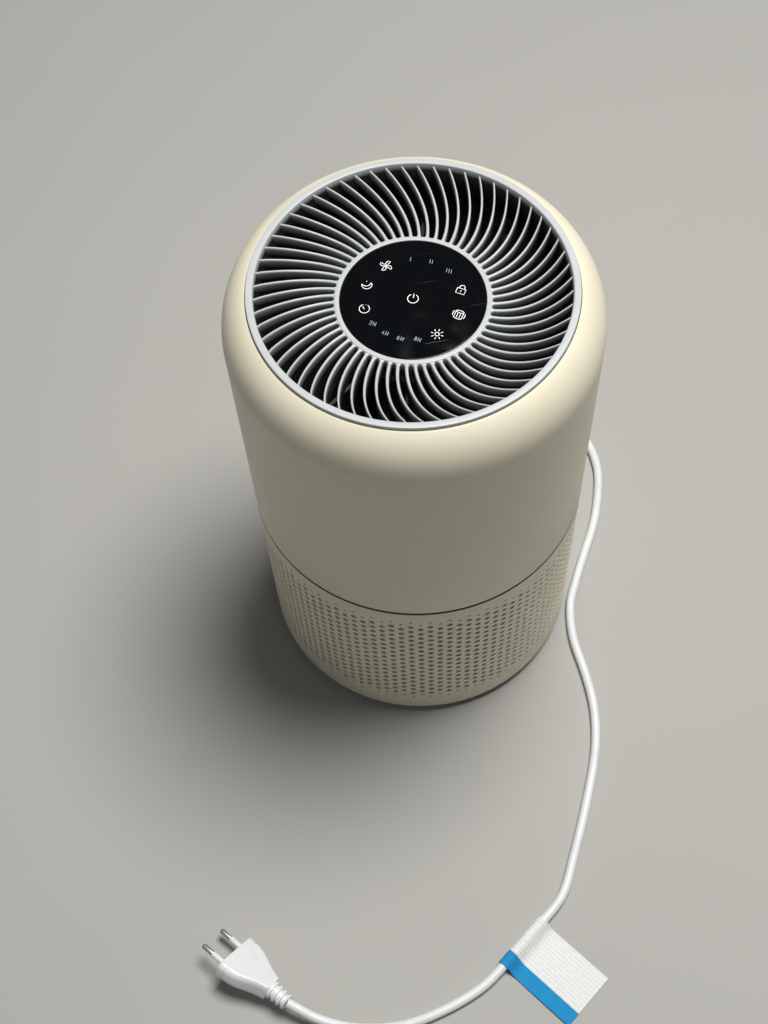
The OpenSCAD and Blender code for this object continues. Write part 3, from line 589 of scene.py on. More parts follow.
def uncoated_paper(name, base, print_pitch=0.0):
    """Uncoated white card: matt, faintly cloudy, with a soft tooth. With a pitch, rows of pale grey
    bars stand for small print."""
    material, tree, shader, place = start_finish(name, base, 0.9)
    if print_pitch:
        across = math.radians(TAG_TURN) + math.pi / 2
        flat = add(tree, "ShaderNodeMapping",
                   {"Vector": place, "Location": (*TAG_START, 0), "Rotation": (0, 0, across)},
                   vector_type="TEXTURE")
        bars = add(tree, "ShaderNodeTexBrick",
                   {"Vector": flat.outputs["Vector"], "Scale": 1.0, "Color1": (0, 0, 0, 1),
                    "Color2": (0.1, 0.1, 0.1, 1), "Mortar": (1, 1, 1, 1), "Mortar Size": 0.95 * MM,
                    "Brick Width": 11 * MM, "Row Height": print_pitch},
                   offset=0.37, squash=0.6, squash_frequency=3)
        two_tone(tree, shader, bars.outputs["Color"], shade(base, 0.86), base)
    else:
        cloud = spread(tree, noise(tree, place, 12 * MM, 4), 0.3, 0.7)
        two_tone(tree, shader, cloud, shade(base, 0.93), base)
    raise_surface(tree, shader, noise(tree, place, 0.5 * MM, 4), 0.03 * MM)
    return material


def milky_diffuser(name, base):
    """Opal polycarbonate: it scatters light below its skin, so it has no hard shadows."""
    material, tree, shader, place = start_finish(
        name, base, 0.35, IOR=1.58, Subsurface_Weight=0.5, Subsurface_Scale=3 * MM)
    two_tone(tree, shader, noise(tree, place, 10 * MM), shade(base, 0.95), base)
    return material


# ------------------------------------------------------------------- stage

CAMERA_PLACE = Vector((208.1, -474.1, 1032.2)) * MM
CAMERA_AIM = Vector((-0.2166, 0.4365, -0.8732))
FLOOR_SIZE = 6


def light(name, place, target, size, power, tint):
    clear_selection()
    direction = Vector(target) - Vector(place)
    bpy.ops.object.light_add(type="AREA", location=place,
                             rotation=direction.to_track_quat("-Z", "Y").to_euler())
    lamp = bpy.context.object
    lamp.name = name
    lamp.data.shape = "DISK"
    lamp.data.size = size
    lamp.data.energy = power
    lamp.data.color = tint


class PURIFIER_OT_stage(bpy.types.Operator):
    """Sets the camera, the lights and the pale floor"""

    bl_idname = "purifier.stage"
    bl_label = "Stage"

    def execute(self, context):
        chosen = settings().stage
        for name in ("Cube", "Light", "Camera"):
            if name in bpy.data.objects:
                bpy.data.objects.remove(bpy.data.objects[name])
        ahead = CAMERA_AIM.normalized()
        side = ahead.cross(Vector((0, 0, 1))).normalized()
        above = side.cross(ahead)
        turn = chosen.roll
        right = math.cos(turn) * side + math.sin(turn) * above
        up = -math.sin(turn) * side + math.cos(turn) * above
        clear_selection()
        bpy.ops.object.camera_add()
        camera = context.object
        camera.name = "camera"
        camera.data.lens = chosen.lens
        camera.data.clip_start = 0.05
        camera.matrix_world = Matrix((
            (right.x, up.x, -ahead.x, CAMERA_PLACE.x),
            (right.y, up.y, -ahead.y, CAMERA_PLACE.y),
            (right.z, up.z, -ahead.z, CAMERA_PLACE.z),
            (0, 0, 0, 1)))
        context.scene.camera = camera

        clear_selection()
        bpy.ops.mesh.primitive_grid_add(x_subdivisions=8, y_subdivisions=8, size=FLOOR_SIZE)
        floor = context.object
        floor.name = "floor"
        material, tree, shader, place = start_finish("painted_floor", (*chosen.floor, 1), 0.75)
        base = (*chosen.floor, 1)
        two_tone(tree, shader, noise(tree, place, 250 * MM, 2), shade(base, 0.96), base)
        floor.data.materials.append(material)

        light("key_above", (0.3, 0.45, 2.3), (0, 0, 0.25), 1.0, chosen.key_w, (1, 0.985, 0.95))
        light("fill_front", (-0.9, -1.0, 1.5), (0, 0, 0.2), 1.2, chosen.fill_w, (0.96, 0.98, 1))
        world = context.scene.world or bpy.data.worlds.new("World")
        context.scene.world = world
        world.use_nodes = True
        background = world.node_tree.nodes["Background"]
        background.inputs["Color"].default_value = (0.93, 0.96, 1, 1)
        background.inputs["Strength"].default_value = chosen.ambient
        context.scene.view_settings.view_transform = "Standard"
        return {"FINISHED"}


# -------------------------------------------------------------------- cord

LAY_Z = 3.35  # height of the cord's middle where it lies on the floor, in millimetres
TAG_START = (176 * MM, -210 * MM)
TAG_Z = 4.45 * MM
# Angles in degrees
TAG_TURN = -110
PLUG_TURN = 163.5
PLUG_ROLL = 32
PLUG_FRONT = Vector((-5.5 * MM, -313.5 * MM, 0))
NECK_L = 14 * MM
RELIEF_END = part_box("strain_relief")[1].y
EXIT_Z = 20.5 * MM


def plug_axis_z():
    chosen = settings().cord
    roll = math.radians(PLUG_ROLL)
    return chosen.plug_w / 2 * math.sin(roll) + chosen.plug_t / 2 * math.cos(roll) + 0.1 * MM


def cord_route():
    """The route's given points, in metres."""
    turn = math.radians(PLUG_TURN)
    pins_way = Vector((math.cos(turn), math.sin(turn), 0))
    back = PLUG_FRONT - (settings().cord.plug_l + NECK_L) * pins_way
    route = [
        (2, RELIEF_END / MM + 12, 16), (12, 162, 7), (32, 174, LAY_Z), (56, 172, LAY_Z),
        (79, 158, LAY_Z), (94, 138, LAY_Z), (102, 115, LAY_Z), (107, 90, LAY_Z),
        (109, 62, LAY_Z), (111, 38, LAY_Z), (114, 18, LAY_Z), (125, -6, LAY_Z),
        (143, -30, LAY_Z), (158, -54, LAY_Z), (169, -84, LAY_Z), (176, -125, LAY_Z),
        (180, -160, LAY_Z), (182, -188, LAY_Z + 0.4), (176, -210, 4.45), (169, -229, 4.45),
        (161.98, -248.53, 4.45), (153, -268, LAY_Z + 0.3), (136, -290, LAY_Z),
        (115, -309, LAY_Z), (90, -322, 5), (65, -328, 11)]
    return ([Vector((0, RELIEF_END, EXIT_Z))]
            + [Vector(point) * MM for point in route]
            + [Vector((back.x, back.y, plug_axis_z()))])


def smooth_line(points, parts):
    """Points on the smooth curve that passes through each of the given points."""
    last = len(points) - 1
    line = []
    for i in range(last):
        p0, p1, p2, p3 = (points[max(i - 1, 0)], points[i], points[i + 1], points[min(i + 2, last)])
        for k in range(parts):
            t = k / parts
            line.append(0.5 * (2 * p1 + (p2 - p0) * t + (2 * p0 - 5 * p1 + 4 * p2 - p3) * t ** 2
                               + (3 * p1 - p0 - 3 * p2 + p3) * t ** 3))
    return line + [points[last]]


def plug_place():
    """Where the plug lies: its own frame has +X out of the pins."""
    return (Matrix.Translation((PLUG_FRONT.x, PLUG_FRONT.y, plug_axis_z()))
            @ Matrix.Rotation(math.radians(PLUG_TURN), 4, "Z")
            @ Matrix.Rotation(math.radians(PLUG_ROLL), 4, "X"))


class PURIFIER_OT_plug(bpy.types.Operator):
    """Builds the two-pin plug, its ribbed neck, the pins' sleeves and the pins"""

    bl_idname = "purifier.plug"
    bl_label = "Plug"

    def execute(self, context):
        chosen = settings().cord
        pvc = soft_pvc("moulded_pvc_plug", (*chosen.sheath, 1), 0.34)
        half_w, half_t = chosen.plug_w / 2, chosen.plug_t / 2
        corner = 4.5 * MM
        quarter = [(half_w - corner, half_t - corner, 0), (corner - half_w, half_t - corner, 90),
                   (corner - half_w, corner - half_t, 180), (half_w - corner, corner - half_t, 270)]
        outline = []
        for y, z, start in quarter:
            outline += arc((y, z), (corner, corner), start, start + 90, 6)
        neck_w, neck_t = 6.8 * MM / half_w, 6.4 * MM / half_t
        stations = [(0, 0.975, 0.95), (-0.35 * MM, 0.992, 0.985), (-0.9 * MM, 1, 1),
                    (-4.6 * MM, 1, 1),
                    (-5 * MM, 0.992, 0.985), (-5.1 * MM, 0.955, 0.93), (-5.8 * MM, 0.955, 0.93),
                    (-5.9 * MM, 0.985, 0.985), (-6.4 * MM, 0.99, 0.992), (-10 * MM, 0.955, 0.99),
                    (-14 * MM, 0.89, 0.985), (-18 * MM, 0.785, 0.98), (-22 * MM, 0.66, 0.972),
                    (-26 * MM, 0.545, 0.96), (-30 * MM, 0.45, 0.95),
                    (-33 * MM, neck_w + 0.01, neck_t),
                    (-chosen.plug_l, neck_w - 0.01, neck_t - 0.03)]
        body = loft("plug_body_moulding", outline, stations)
        body.matrix_world = plug_place()
        done(body, "housing", [pvc], ["plug_body"], 40)

        neck = 6.3 * MM
        tip = 5.3 * MM
        outline = [(0, chosen.plug_l), (neck, chosen.plug_l)]
        grooves = 3
        for i in range(grooves):
            low = chosen.plug_l + (2.2 + i * 4) * MM
            r = neck + (tip - neck) * (low - chosen.plug_l) / NECK_L
            outline += [(r, low), (r - 0.3 * MM, low + 0.15 * MM), (r - 1.4 * MM, low + 0.4 * MM),
                        (r - 1.4 * MM, low + 1.6 * MM), (r - 0.4 * MM, low + 1.85 * MM),
                        (r - 0.1 * MM, low + 2 * MM)]
        end = chosen.plug_l + NECK_L
        outline += [(tip, end - 0.5 * MM), (tip - 0.4 * MM, end), (0, end)]
        relief = lathe("plug_neck_sleeve", outline, 48, closed=False)
        relief.matrix_world = plug_place() @ Matrix.Rotation(math.radians(-90), 4, "Y")
        done(relief, "housing", [pvc], ["plug_relief"], 40)

        steel = plated_metal("nickel_plated_brass", linear("E0DED8"), 0.36)
        r = 2 * MM
        outlines = {
            "plug_pin_sleeves": [(r - 0.45 * MM, 0), (r, 0), (r, 9.6 * MM), (r - 0.15 * MM, 10 * MM),
                                 (r - 0.45 * MM, 10 * MM)],
            "plug_pin_metal": [(0, 0.2 * MM), (r - 0.45 * MM, 0.2 * MM), (r - 0.45 * MM, 10 * MM),
                               (r, 10.05 * MM), (r, 17.6 * MM), (r - 0.35 * MM, 18.4 * MM),
                               (r - 1 * MM, 18.9 * MM), (0, 19 * MM)]}
        for name, outline in outlines.items():
            metal = name.endswith("metal")
            pins = lathe(name, outline, 32, closed=not metal)
            shift((0, chosen.pin_pitch / 2, 0))
            bpy.ops.mesh.duplicate_move(TRANSFORM_OT_translate={"value": (0, -chosen.pin_pitch, 0)})
            pins.matrix_world = plug_place() @ Matrix.Rotation(math.radians(90), 4, "Y")
            done(pins, "housing", [steel if metal else pvc],
                 ["plug_pins" if metal else "plug_sleeves"], 40)
        return {"FINISHED"}


class PURIFIER_OT_tag(bpy.types.Operator):
    """Builds the folded paper tag that is looped round the cord"""

    bl_idname = "purifier.tag"
    bl_label = "Paper tag"

    def execute(self, context):
        chosen = settings().cord
        loop_r = 4.05 * MM
        low = -4.2 * MM
        # The lower leaf, the loop round the cord, and the upper leaf that bows up a little
        line = [(0, y * MM, low + 0.12 * MM * math.sin(y * 0.11))
                for y in (55.8, 48, 40, 32, 24, 16, 10, 5)]
        line += [(0, y, z) for y, z in arc((0, 0), (loop_r, loop_r), -90, -318, 14)]
        line += [(0, y * MM, z * MM)
                 for y, z in ((4.6, 1), (6, -0.9), (7.6, -2.3), (9.6, -3.1), (12.5, -3.5))]
        line += [(0, y * MM, low + (0.62 + 0.5 * math.sin((y - 12) * 0.05)) * MM)
                 for y in (18, 25, 32, 40, 48, 56)]
        tag = chain("cord_paper_tag", line)
        bpy.ops.mesh.select_all(action="SELECT")
        plain = chosen.tag_w - chosen.stripe_w
        for step in [plain / 6] * 6 + [chosen.stripe_w / 2] * 2:
            extrude((step, 0, 0))
        weld()
        tag.matrix_world = (Matrix.Translation((*TAG_START, TAG_Z))
                            @ Matrix.Rotation(math.radians(TAG_TURN), 4, "Z"))
        apply_modifier(tag, "SOLIDIFY", thickness=0.22 * MM, offset=0)
        tag.data.materials.append(uncoated_paper("printed_card", linear("EDEFEF"), 2.6 * MM))
        tag.data.materials.append(uncoated_paper("blue_printed_card", (*chosen.stripe, 1)))
        for face in tag.data.polygons:
            face.material_index = int(face.center.x > plain)
        done(tag, "housing", [], ["cord_tag"], 35)
        return {"FINISHED"}


class PURIFIER_OT_cord(bpy.types.Operator):
    """Lays the mains cord and its bend relief, with the plug and the tag on it"""

    bl_idname = "purifier.cord"
    bl_label = "Mains cord"

    def execute(self, context):
        chosen = settings().cord
        pvc = soft_pvc("extruded_pvc_sheath", (*chosen.sheath, 1), 0.38, 4)
        clear_selection()
        line = smooth_line(cord_route(), 8)
        curve = bpy.data.curves.new("mains_cord", "CURVE")
        curve.dimensions = "3D"
        curve.bevel_depth = chosen.cord_d / 2
        curve.bevel_resolution = 5
        curve.use_fill_caps = True
        spline = curve.splines.new("POLY")
        spline.points.add(len(line) - 1)
        for point, place in zip(spline.points, line):
            point.co = (*place, 1)
        cord = bpy.data.objects.new("mains_cord", curve)
        context.scene.collection.objects.link(cord)
        curve.materials.append(pvc)
        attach(cord, "housing")
        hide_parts("power_cord")

        inner_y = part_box("strain_relief")[0].y
        wall_y = settings().shell.foot_r + 0.2 * MM
        span = RELIEF_END - wall_y
        root, tip = 6.5 * MM, 4.5 * MM
        outline = [(0, inner_y), (8 * MM, inner_y), (8 * MM, inner_y + 2.6 * MM),
                   (4.8 * MM, inner_y + 2.7 * MM), (4.8 * MM, wall_y), (7.2 * MM, wall_y),
                   (7.6 * MM, wall_y + 0.5 * MM), (7.5 * MM, wall_y + 2 * MM),
                   (7.1 * MM, wall_y + 2.5 * MM), (root, wall_y + 2.6 * MM)]
        ribs = 5
        pitch = (span - 5 * MM) / ribs
        for i in range(ribs):
            low = wall_y + 3.4 * MM + i * pitch
            r = root + (tip - root) * (low - wall_y) / span
            outline += [(r, low), (r - 1.3 * MM, low + 0.3 * MM), (r - 1.3 * MM, low + 1.5 * MM),
                        (r - 0.15 * MM, low + 1.8 * MM)]
        outline += [(tip, RELIEF_END - 0.5 * MM), (tip - 0.4 * MM, RELIEF_END), (0, RELIEF_END)]
        relief = lathe("cord_bend_relief", outline, 48, closed=False)
        relief.matrix_world = (Matrix.Translation((0, 0, EXIT_Z))
                               @ Matrix.Rotation(math.radians(-90), 4, "X"))
        done(relief, "housing", [pvc], ["strain_relief"], 40)

        bpy.ops.purifier.plug()
        bpy.ops.purifier.tag()
        return {"FINISHED"}


# ------------------------------------------------------------------ shells


# The collar inside the lower shell's foot: its inside, its middle and its outside radius
COLLAR_IN_R, COLLAR_R, COLLAR_OUT_R = 93.4 * MM, 97.9 * MM, 99 * MM
FOOT_IN_R = 98.4 * MM
BLOCK_ANGLE = 56  # degrees that each block of the collar fills
BLOCK_START = -71  # degrees from +X to the first block
FULL_ROWS = 17
GROOVE_H = 0.75 * MM  # how far the painted shade of the seam's groove reaches down


def shell_r(z):
    """Outside radius of the shells at a height below the shoulder."""
    chosen = settings().shell
    shoulder_z = shoulder()[1]
    part = (min(z, shoulder_z) - foot_level) / (shoulder_z - foot_level)
    return chosen.foot_r + (BODY_R - chosen.foot_r) * part


def shoulder():
    """The shoulder curve's end angle in degrees and the height where it starts."""
    chosen = settings().shell
    angle = math.acos((RIM_R - BODY_R + chosen.shoulder_reach) / chosen.shoulder_reach)
    return math.degrees(angle), shell_top.z - chosen.shoulder_rise * math.sin(angle)


def hole_cell(name, hole_r, width, height):
    """A flat six-cornered cell in the XZ plane with a round hole."""
    half_w, half_h = width / 2, height / 2
    corners = [(-half_w, 0, -half_h), (half_w, 0, -half_h), (half_w, 0, 0), (half_w, 0, half_h),
               (-half_w, 0, half_h), (-half_w, 0, 0)]
    cell = chain(name, corners + corners[:1])
    weld()
    bpy.ops.mesh.primitive_circle_add(vertices=16, radius=hole_r, rotation=(math.pi / 2, 0, 0))
    bpy.ops.mesh.select_all(action="SELECT")
    bpy.ops.mesh.bridge_edge_loops()
    clear_selection()
    return cell


def plain_cell(name, width, low, high):
    half_w = width / 2
    corners = [(-half_w, 0, low), (half_w, 0, low), (half_w, 0, high), (-half_w, 0, high)]
    cell = chain(name, corners + corners[:1])
    weld()
    bpy.ops.mesh.edge_face_add()
    clear_selection()
    return cell


def pull_rim(piece, level, outline):
    """Extrudes the rim at a height through the (radius, height) points of an outline."""
    pick(piece, "edges", lambda e: all(abs(piece.data.vertices[v].co.z - level) < 0.01 * MM
                                       for v in e.vertices))
    r, z = shell_r(level), level
    for new_r, new_z in outline:
        extrude((0, 0, new_z - z))
        bpy.ops.transform.resize(value=(new_r / r, new_r / r, 1), center_override=(0, 0, new_z))
        r, z = new_r, new_z
    clear_selection()


class PURIFIER_OT_shells(bpy.types.Operator):
    """Builds the rounded upper shell and the perforated lower shell"""

    bl_idname = "purifier.shells"
    bl_label = "Shells"

    def execute(self, context):
        chosen = settings().shell
        plastic = moulded_abs("ivory_moulded_abs", (*chosen.plastic, 1))
        wall = chosen.wall
        angle, shoulder_z = shoulder()
        centre = (BODY_R - chosen.shoulder_reach, shoulder_z)
        reach = (chosen.shoulder_reach, chosen.shoulder_rise)
        low = shell_low.z
        ledge_z = shell_top.z - 5.2 * MM
        ledge_r = RING_R - 3 * MM
        seam_r = shell_r(low)
        outline = [(seam_r - wall, low), (seam_r - 0.7 * MM, low),
                   (seam_r - 0.2 * MM, low + 0.2 * MM), (seam_r, low + 0.7 * MM)]
        outline += [(shell_r(low + rise * MM), low + rise * MM) for rise in (30, 70, 110, 140)]
        outline += arc(centre, reach, 0, angle - 0.8, 30)
        outline += [(RIM_R + 0.12 * MM, shell_top.z - 0.12 * MM), (RIM_R, shell_top.z - 0.4 * MM),
                    (RIM_R, ledge_z), (ledge_r, ledge_z), (ledge_r, ledge_z - 2.4 * MM)]
        outline += arc(centre, (reach[0] - wall, reach[1] - wall), 48, 0, 16)
        upper = lathe("upper_shell", outline, 216)
        # The pillars that the shell screws go into, each with a web to the wall
        pillars = lathe("pillars", [(1.5 * MM, 0), (4 * MM, 0), (4 * MM, 16 * MM),
                                    (1.5 * MM, 16 * MM)], 24)
        plate_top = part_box("inlet_plate")[0].z + 2.5 * MM
        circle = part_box("inlet_plate")[1].x - 5 * MM
        shift((circle, 0, plate_top))
        bpy.ops.mesh.primitive_cube_add(size=1,
                                        location=(circle + 4.6 * MM, 0, plate_top + 10 * MM),
                                        scale=(4.6 * MM, 2.4 * MM, 12 * MM))
        copy_round(6)
        upper = join("upper_shell", [upper, pillars])
        done(upper, "housing", [plastic], ["upper_housing"])

        bpy.ops.purifier.lower_shell()
        # A dark finish on the rim's top faces: painted shade in the seam's groove
        groove = moulded_abs("shaded_groove_abs", linear("3A3833"), 0.6)
        done(bpy.data.objects["lower_shell"], "housing", [plastic, groove],
             ["lower_housing"])
        return {"FINISHED"}


class PURIFIER_OT_lower_shell(bpy.types.Operator):
    """Builds the lower shell's mesh: a sheet of staggered hole cells rolled into a tube"""

    bl_idname = "purifier.lower_shell"
    bl_label = "Lower shell"

    def execute(self, context):
        chosen = settings().shell
        pitch = chosen.row_pitch
        width = TURN * BODY_R / (2 * chosen.column_pairs)
        cells = {"full": hole_cell("full_cell", chosen.hole_d / 2, width, pitch),
                 "small": hole_cell("small_cell", chosen.small_hole_d / 2, width, pitch)}
        top = chosen.first_row + pitch * (FULL_ROWS + 0.5)
        bottom = chosen.first_row - 1.5 * pitch
        placed = []
        for column in (0, 1):
            rows = FULL_ROWS - column
            for row in range(-1, rows + 1):
                kind = "small" if row in (-1, rows) else "full"
                copied = cells[kind].copy()
                copied.data = cells[kind].data.copy()
                copied.location = (column * width, 0, chosen.first_row + (row + column / 2) * pitch)
                context.scene.collection.objects.link(copied)
                placed.append(copied)
        for cell in cells.values():
            bpy.data.objects.remove(cell)
        placed.append(plain_cell("fill_low", width, bottom, bottom + pitch / 2))
        placed.append(plain_cell("fill_high", width, top - pitch / 2, top))
        for fill in placed[-2:]:
            fill.location.x = width
        shell = join("lower_shell", placed)
        bpy.ops.object.transform_apply(location=True, rotation=False, scale=False)
        apply_modifier(shell, "ARRAY", count=chosen.column_pairs, use_relative_offset=False,
                       use_constant_offset=True, constant_offset_displace=(2 * width, 0, 0))

        def rolled(co):
            around = math.radians(90) + co.x / width * TURN / (2 * chosen.column_pairs)
            r = shell_r(co.z)
            return (r * math.cos(around), r * math.sin(around), co.z)

        reshape(shell, rolled)
        edit(shell)
        weld()
        clear_selection()
        edge_z = shell_low.z - 1.2 * MM
        edge_r = shell_r(edge_z)
        pull_rim(shell, top, [(shell_r(edge_z - 4 * MM), edge_z - 4 * MM),
                              (edge_r, edge_z - 0.9 * MM), (edge_r - 0.3 * MM, edge_z - 0.3 * MM),
                              (edge_r - 0.9 * MM, edge_z)])
        foot_round = 5 * MM
        foot = arc((chosen.foot_r - foot_round, foot_level + foot_round), (foot_round, foot_round),
                   0, -90, 8)
        pull_rim(shell, bottom, foot + [(FOOT_IN_R, foot_level)])
        edit(shell)
        outward()
        apply_modifier(shell, "SOLIDIFY", thickness=chosen.wall, offset=-1, use_even_offset=True)

        # The lip that the upper shell sits over
        lip_r = edge_r - chosen.wall - 0.2 * MM
        lip_in, lip_low, lip_top = lip_r - 1.6 * MM, edge_z - 6 * MM, lower_top.z + 4.6 * MM
        lip = lathe("seam_lip", [(lip_in, lip_low), (lip_r, lip_low), (lip_r, lip_top - 0.6 * MM),
                                 (lip_r - 0.5 * MM, lip_top), (lip_in, lip_top)], 180)
        # The collar that holds the cover's lugs, open below in four places
        low, high = foot_level, foot_level + 13 * MM
        skin = lathe("collar_skin", [(COLLAR_R, low), (COLLAR_OUT_R, low), (COLLAR_OUT_R, high),
                                     (COLLAR_IN_R, high), (COLLAR_IN_R, high - MM),
                                     (COLLAR_R, high - MM)], 180)
        blocks = lathe("collar_blocks", [(COLLAR_IN_R, low), (COLLAR_R, low), (COLLAR_R, high - MM),
                                         (COLLAR_IN_R, high - MM)], 28, math.radians(BLOCK_ANGLE))
        bpy.ops.mesh.select_all(action="DESELECT")
        bpy.ops.mesh.select_non_manifold()
        bpy.ops.mesh.fill_holes(sides=0)
        outward()
        turn_all(BLOCK_START)
        copy_round(4)
        shell = join("lower_shell", [shell, lip, skin, blocks])
        # The faces near the rim's top take the second finish, the painted groove shade
        for face in shell.data.polygons:
            face.material_index = int(face.center.z > edge_z - GROOVE_H)
        return {"FINISHED"}


# ------------------------------------------------------------------ grille


class PURIFIER_OT_grille(bpy.types.Operator):
    """Builds the outlet ring, the hub with its bezel, and the spiral vanes between them"""

    bl_idname = "purifier.grille"
    bl_label = "Outlet grille"

    def execute(self, context):
        chosen = settings().grille

        def grey_abs(name):
            return moulded_abs(name, (*chosen.plastic, 1), roughness=0.36, grain=0.6, depth=0.012)

        hub_r = LENS_R + chosen.bezel_w
        ring_in = RING_R - chosen.ring_w
        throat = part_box("air_duct")[1].y - 8 * MM + 0.5 * MM
        ledge_z = shell_top.z - 5 * MM
        ledge_r = RING_R - 3.2 * MM
        outline = [(throat, VANE_LOW_Z), (ledge_r, VANE_LOW_Z), (ledge_r, ledge_z), (RING_R, ledge_z)]
        outline += arc((RING_R - 0.6 * MM, RING_Z - 0.6 * MM), (0.6 * MM, 0.6 * MM), 0, 90, 5)
        outline += arc((ring_in + 0.9 * MM, RING_Z - 0.9 * MM), (0.9 * MM, 0.9 * MM), 90, 165, 5)
        outline += [(ring_in - 0.4 * MM, RING_Z - 5 * MM), (throat, PANEL_Z)]
        ring = lathe("outlet_ring", outline, 216)
        clip_w = 12 * MM
        clip_in, clip_out = ledge_r - MM, ledge_r + 1.4 * MM
        clip_low, clip_high = ledge_z - 5.8 * MM, ledge_z - 2.8 * MM
        clips = chain("clips", [(r, -clip_w / 2, z) for r, z in (
            (clip_in, clip_low), (clip_out, clip_low), (clip_out, clip_high), (clip_in, clip_high),
            (clip_in, clip_low))])
        weld()
        bpy.ops.mesh.edge_face_add()
        extrude((0, clip_w, 0))
        turn_all(22.5)
        copy_round(4)
        outward()
        ring = join("outlet_ring", [ring, clips])
        # Depth below the ring's top on its inner wall, for the painted shade there
        note_depth(ring, [RING_Z - v.co.z if math.hypot(v.co.x, v.co.y) < ring_in + MM else 0.0
                          for v in ring.data.vertices])
        # Painted shade: the ring's inner wall darkens to 262320 from 1.2 mm to 5 mm down
        depth_shaded = painted_depth_shade(grey_abs("ring_moulded_abs"), linear("262320"), 1.2 * MM, 5 * MM)
        done(ring, "housing", [depth_shaded], ["top_grille"])

        seat_z = lens_low.z
        outline = [(hub_r - 2.4 * MM, VANE_LOW_Z - 6 * MM), (hub_r, VANE_LOW_Z - 6 * MM)]
        outline += arc((hub_r - 0.8 * MM, PANEL_Z - 0.8 * MM), (0.8 * MM, 0.8 * MM), 0, 90, 5)
        outline += arc((LENS_R + 0.55 * MM, PANEL_Z - 0.35 * MM), (0.35 * MM, 0.35 * MM), 90, 180, 4)
        outline += [(LENS_R + 0.2 * MM, seat_z), (LENS_R - 3 * MM, seat_z),
                    (LENS_R - 3 * MM, seat_z - 1.4 * MM), (hub_r - 2.4 * MM, seat_z - 1.4 * MM)]
        done(lathe("panel_bezel", outline, 160), "housing", [grey_abs("pale_grey_moulded_abs")])

        half_t = 0.8 * MM
        depth = 20 * MM
        levels = [depth - drop * MM for drop in (9.5, 5, 2.4)]
        outline = [(0, -half_t, z) for z in [0] + levels]
        outline += [(0, y, z) for y, z in arc((0, depth - half_t), (half_t, half_t), 180, 0, 6)]
        outline += [(0, half_t, z) for z in levels[::-1] + [0]]
        vane = chain("spiral_vanes", outline + outline[:1])
        weld()
        bpy.ops.mesh.edge_face_add()
        steps = 22
        for _ in range(steps):
            extrude((1 / steps, 0, 0))
        outward()
        start_r, end_r = hub_r - 0.3 * MM, ring_in + 0.5 * MM
        slot_half = (TURN * hub_r / chosen.vanes - chosen.hub_t) / 2

        def swept(co):
            part = max(0, co.x) ** 1.8
            r = start_r + (end_r - start_r) * part
            half = (chosen.hub_t + (chosen.rim_t - chosen.hub_t) * part) / 2
            gap = slot_half - min(slot_half, max(0, r - hub_r))
            half += slot_half - math.sqrt(max(0, slot_half ** 2 - gap ** 2))
            across = co.y / half_t * half
            turn = chosen.sweep * part ** 1.5 + across / r
            rise = min(1, max(0, (r - hub_r) / (ring_in - hub_r))) ** chosen.dish_power
            top = PANEL_Z - 0.4 * MM + (RING_Z - 1.2 * MM - PANEL_Z) * rise
            z = top - (depth - co.z) if co.z > depth / 2 else VANE_LOW_Z
            return (r * math.cos(turn), r * math.sin(turn), z)

        clear_selection()
        # Depth below each vane's top edge, for the painted shade down its flanks
        depths = [max(0.0, depth - vertex.co.z) if vertex.co.z > depth / 2 else depth
                  for vertex in vane.data.vertices]
        reshape(vane, swept)
        note_depth(vane, depths)
        edit(vane)
        copy_round(chosen.vanes)
        # Painted shade: the vanes darken to 2C2824 from 0.6 mm to 6.5 mm below their tops
        depth_shaded = painted_depth_shade(grey_abs("vane_moulded_abs"), linear("2C2824"), 0.6 * MM, 6.5 * MM)
        done(vane, "housing", [depth_shaded], smooth=50)
        return {"FINISHED"}


# ------------------------------------------------------------------- panel


def ring_line(centre, r, start=0, end=360, count=20):
    return arc(centre, (r, r), start, end, count)


def petal(turn):
    """One blade of the fan symbol, turned round its middle."""
    line = [(0.1, 0.4), (-0.7, 1.4), (-0.8, 2.5), (-0.1, 3.5), (1.1, 3.7), (1.2, 2.9),
            (0.7, 1.9), (0.8, 0.8)]
    c, s = math.cos(math.radians(turn)), math.sin(math.radians(turn))
    return [(x * c - y * s, x * s + y * c) for x, y in line]


def slanted(count):
    """Short slanted strokes, one for each fan speed."""
    gap = 1.4
    first = -0.5 * gap * (count - 1)
    return [[(first + i * gap + 0.3, -1.4), (first + i * gap - 0.3, 1.4)] for i in range(count)]


def hours(digit):
    """A digit and the letter of the hours beside it, as thin strokes."""
    letter = [[(0.5, -1.3), (0.5, 1.3)], [(1.8, -1.3), (1.8, 1.3)], [(0.5, 0), (1.8, 0)]]
    return [[(x - 1.1, y) for x, y in stroke] for stroke in DIGITS[digit]] + letter


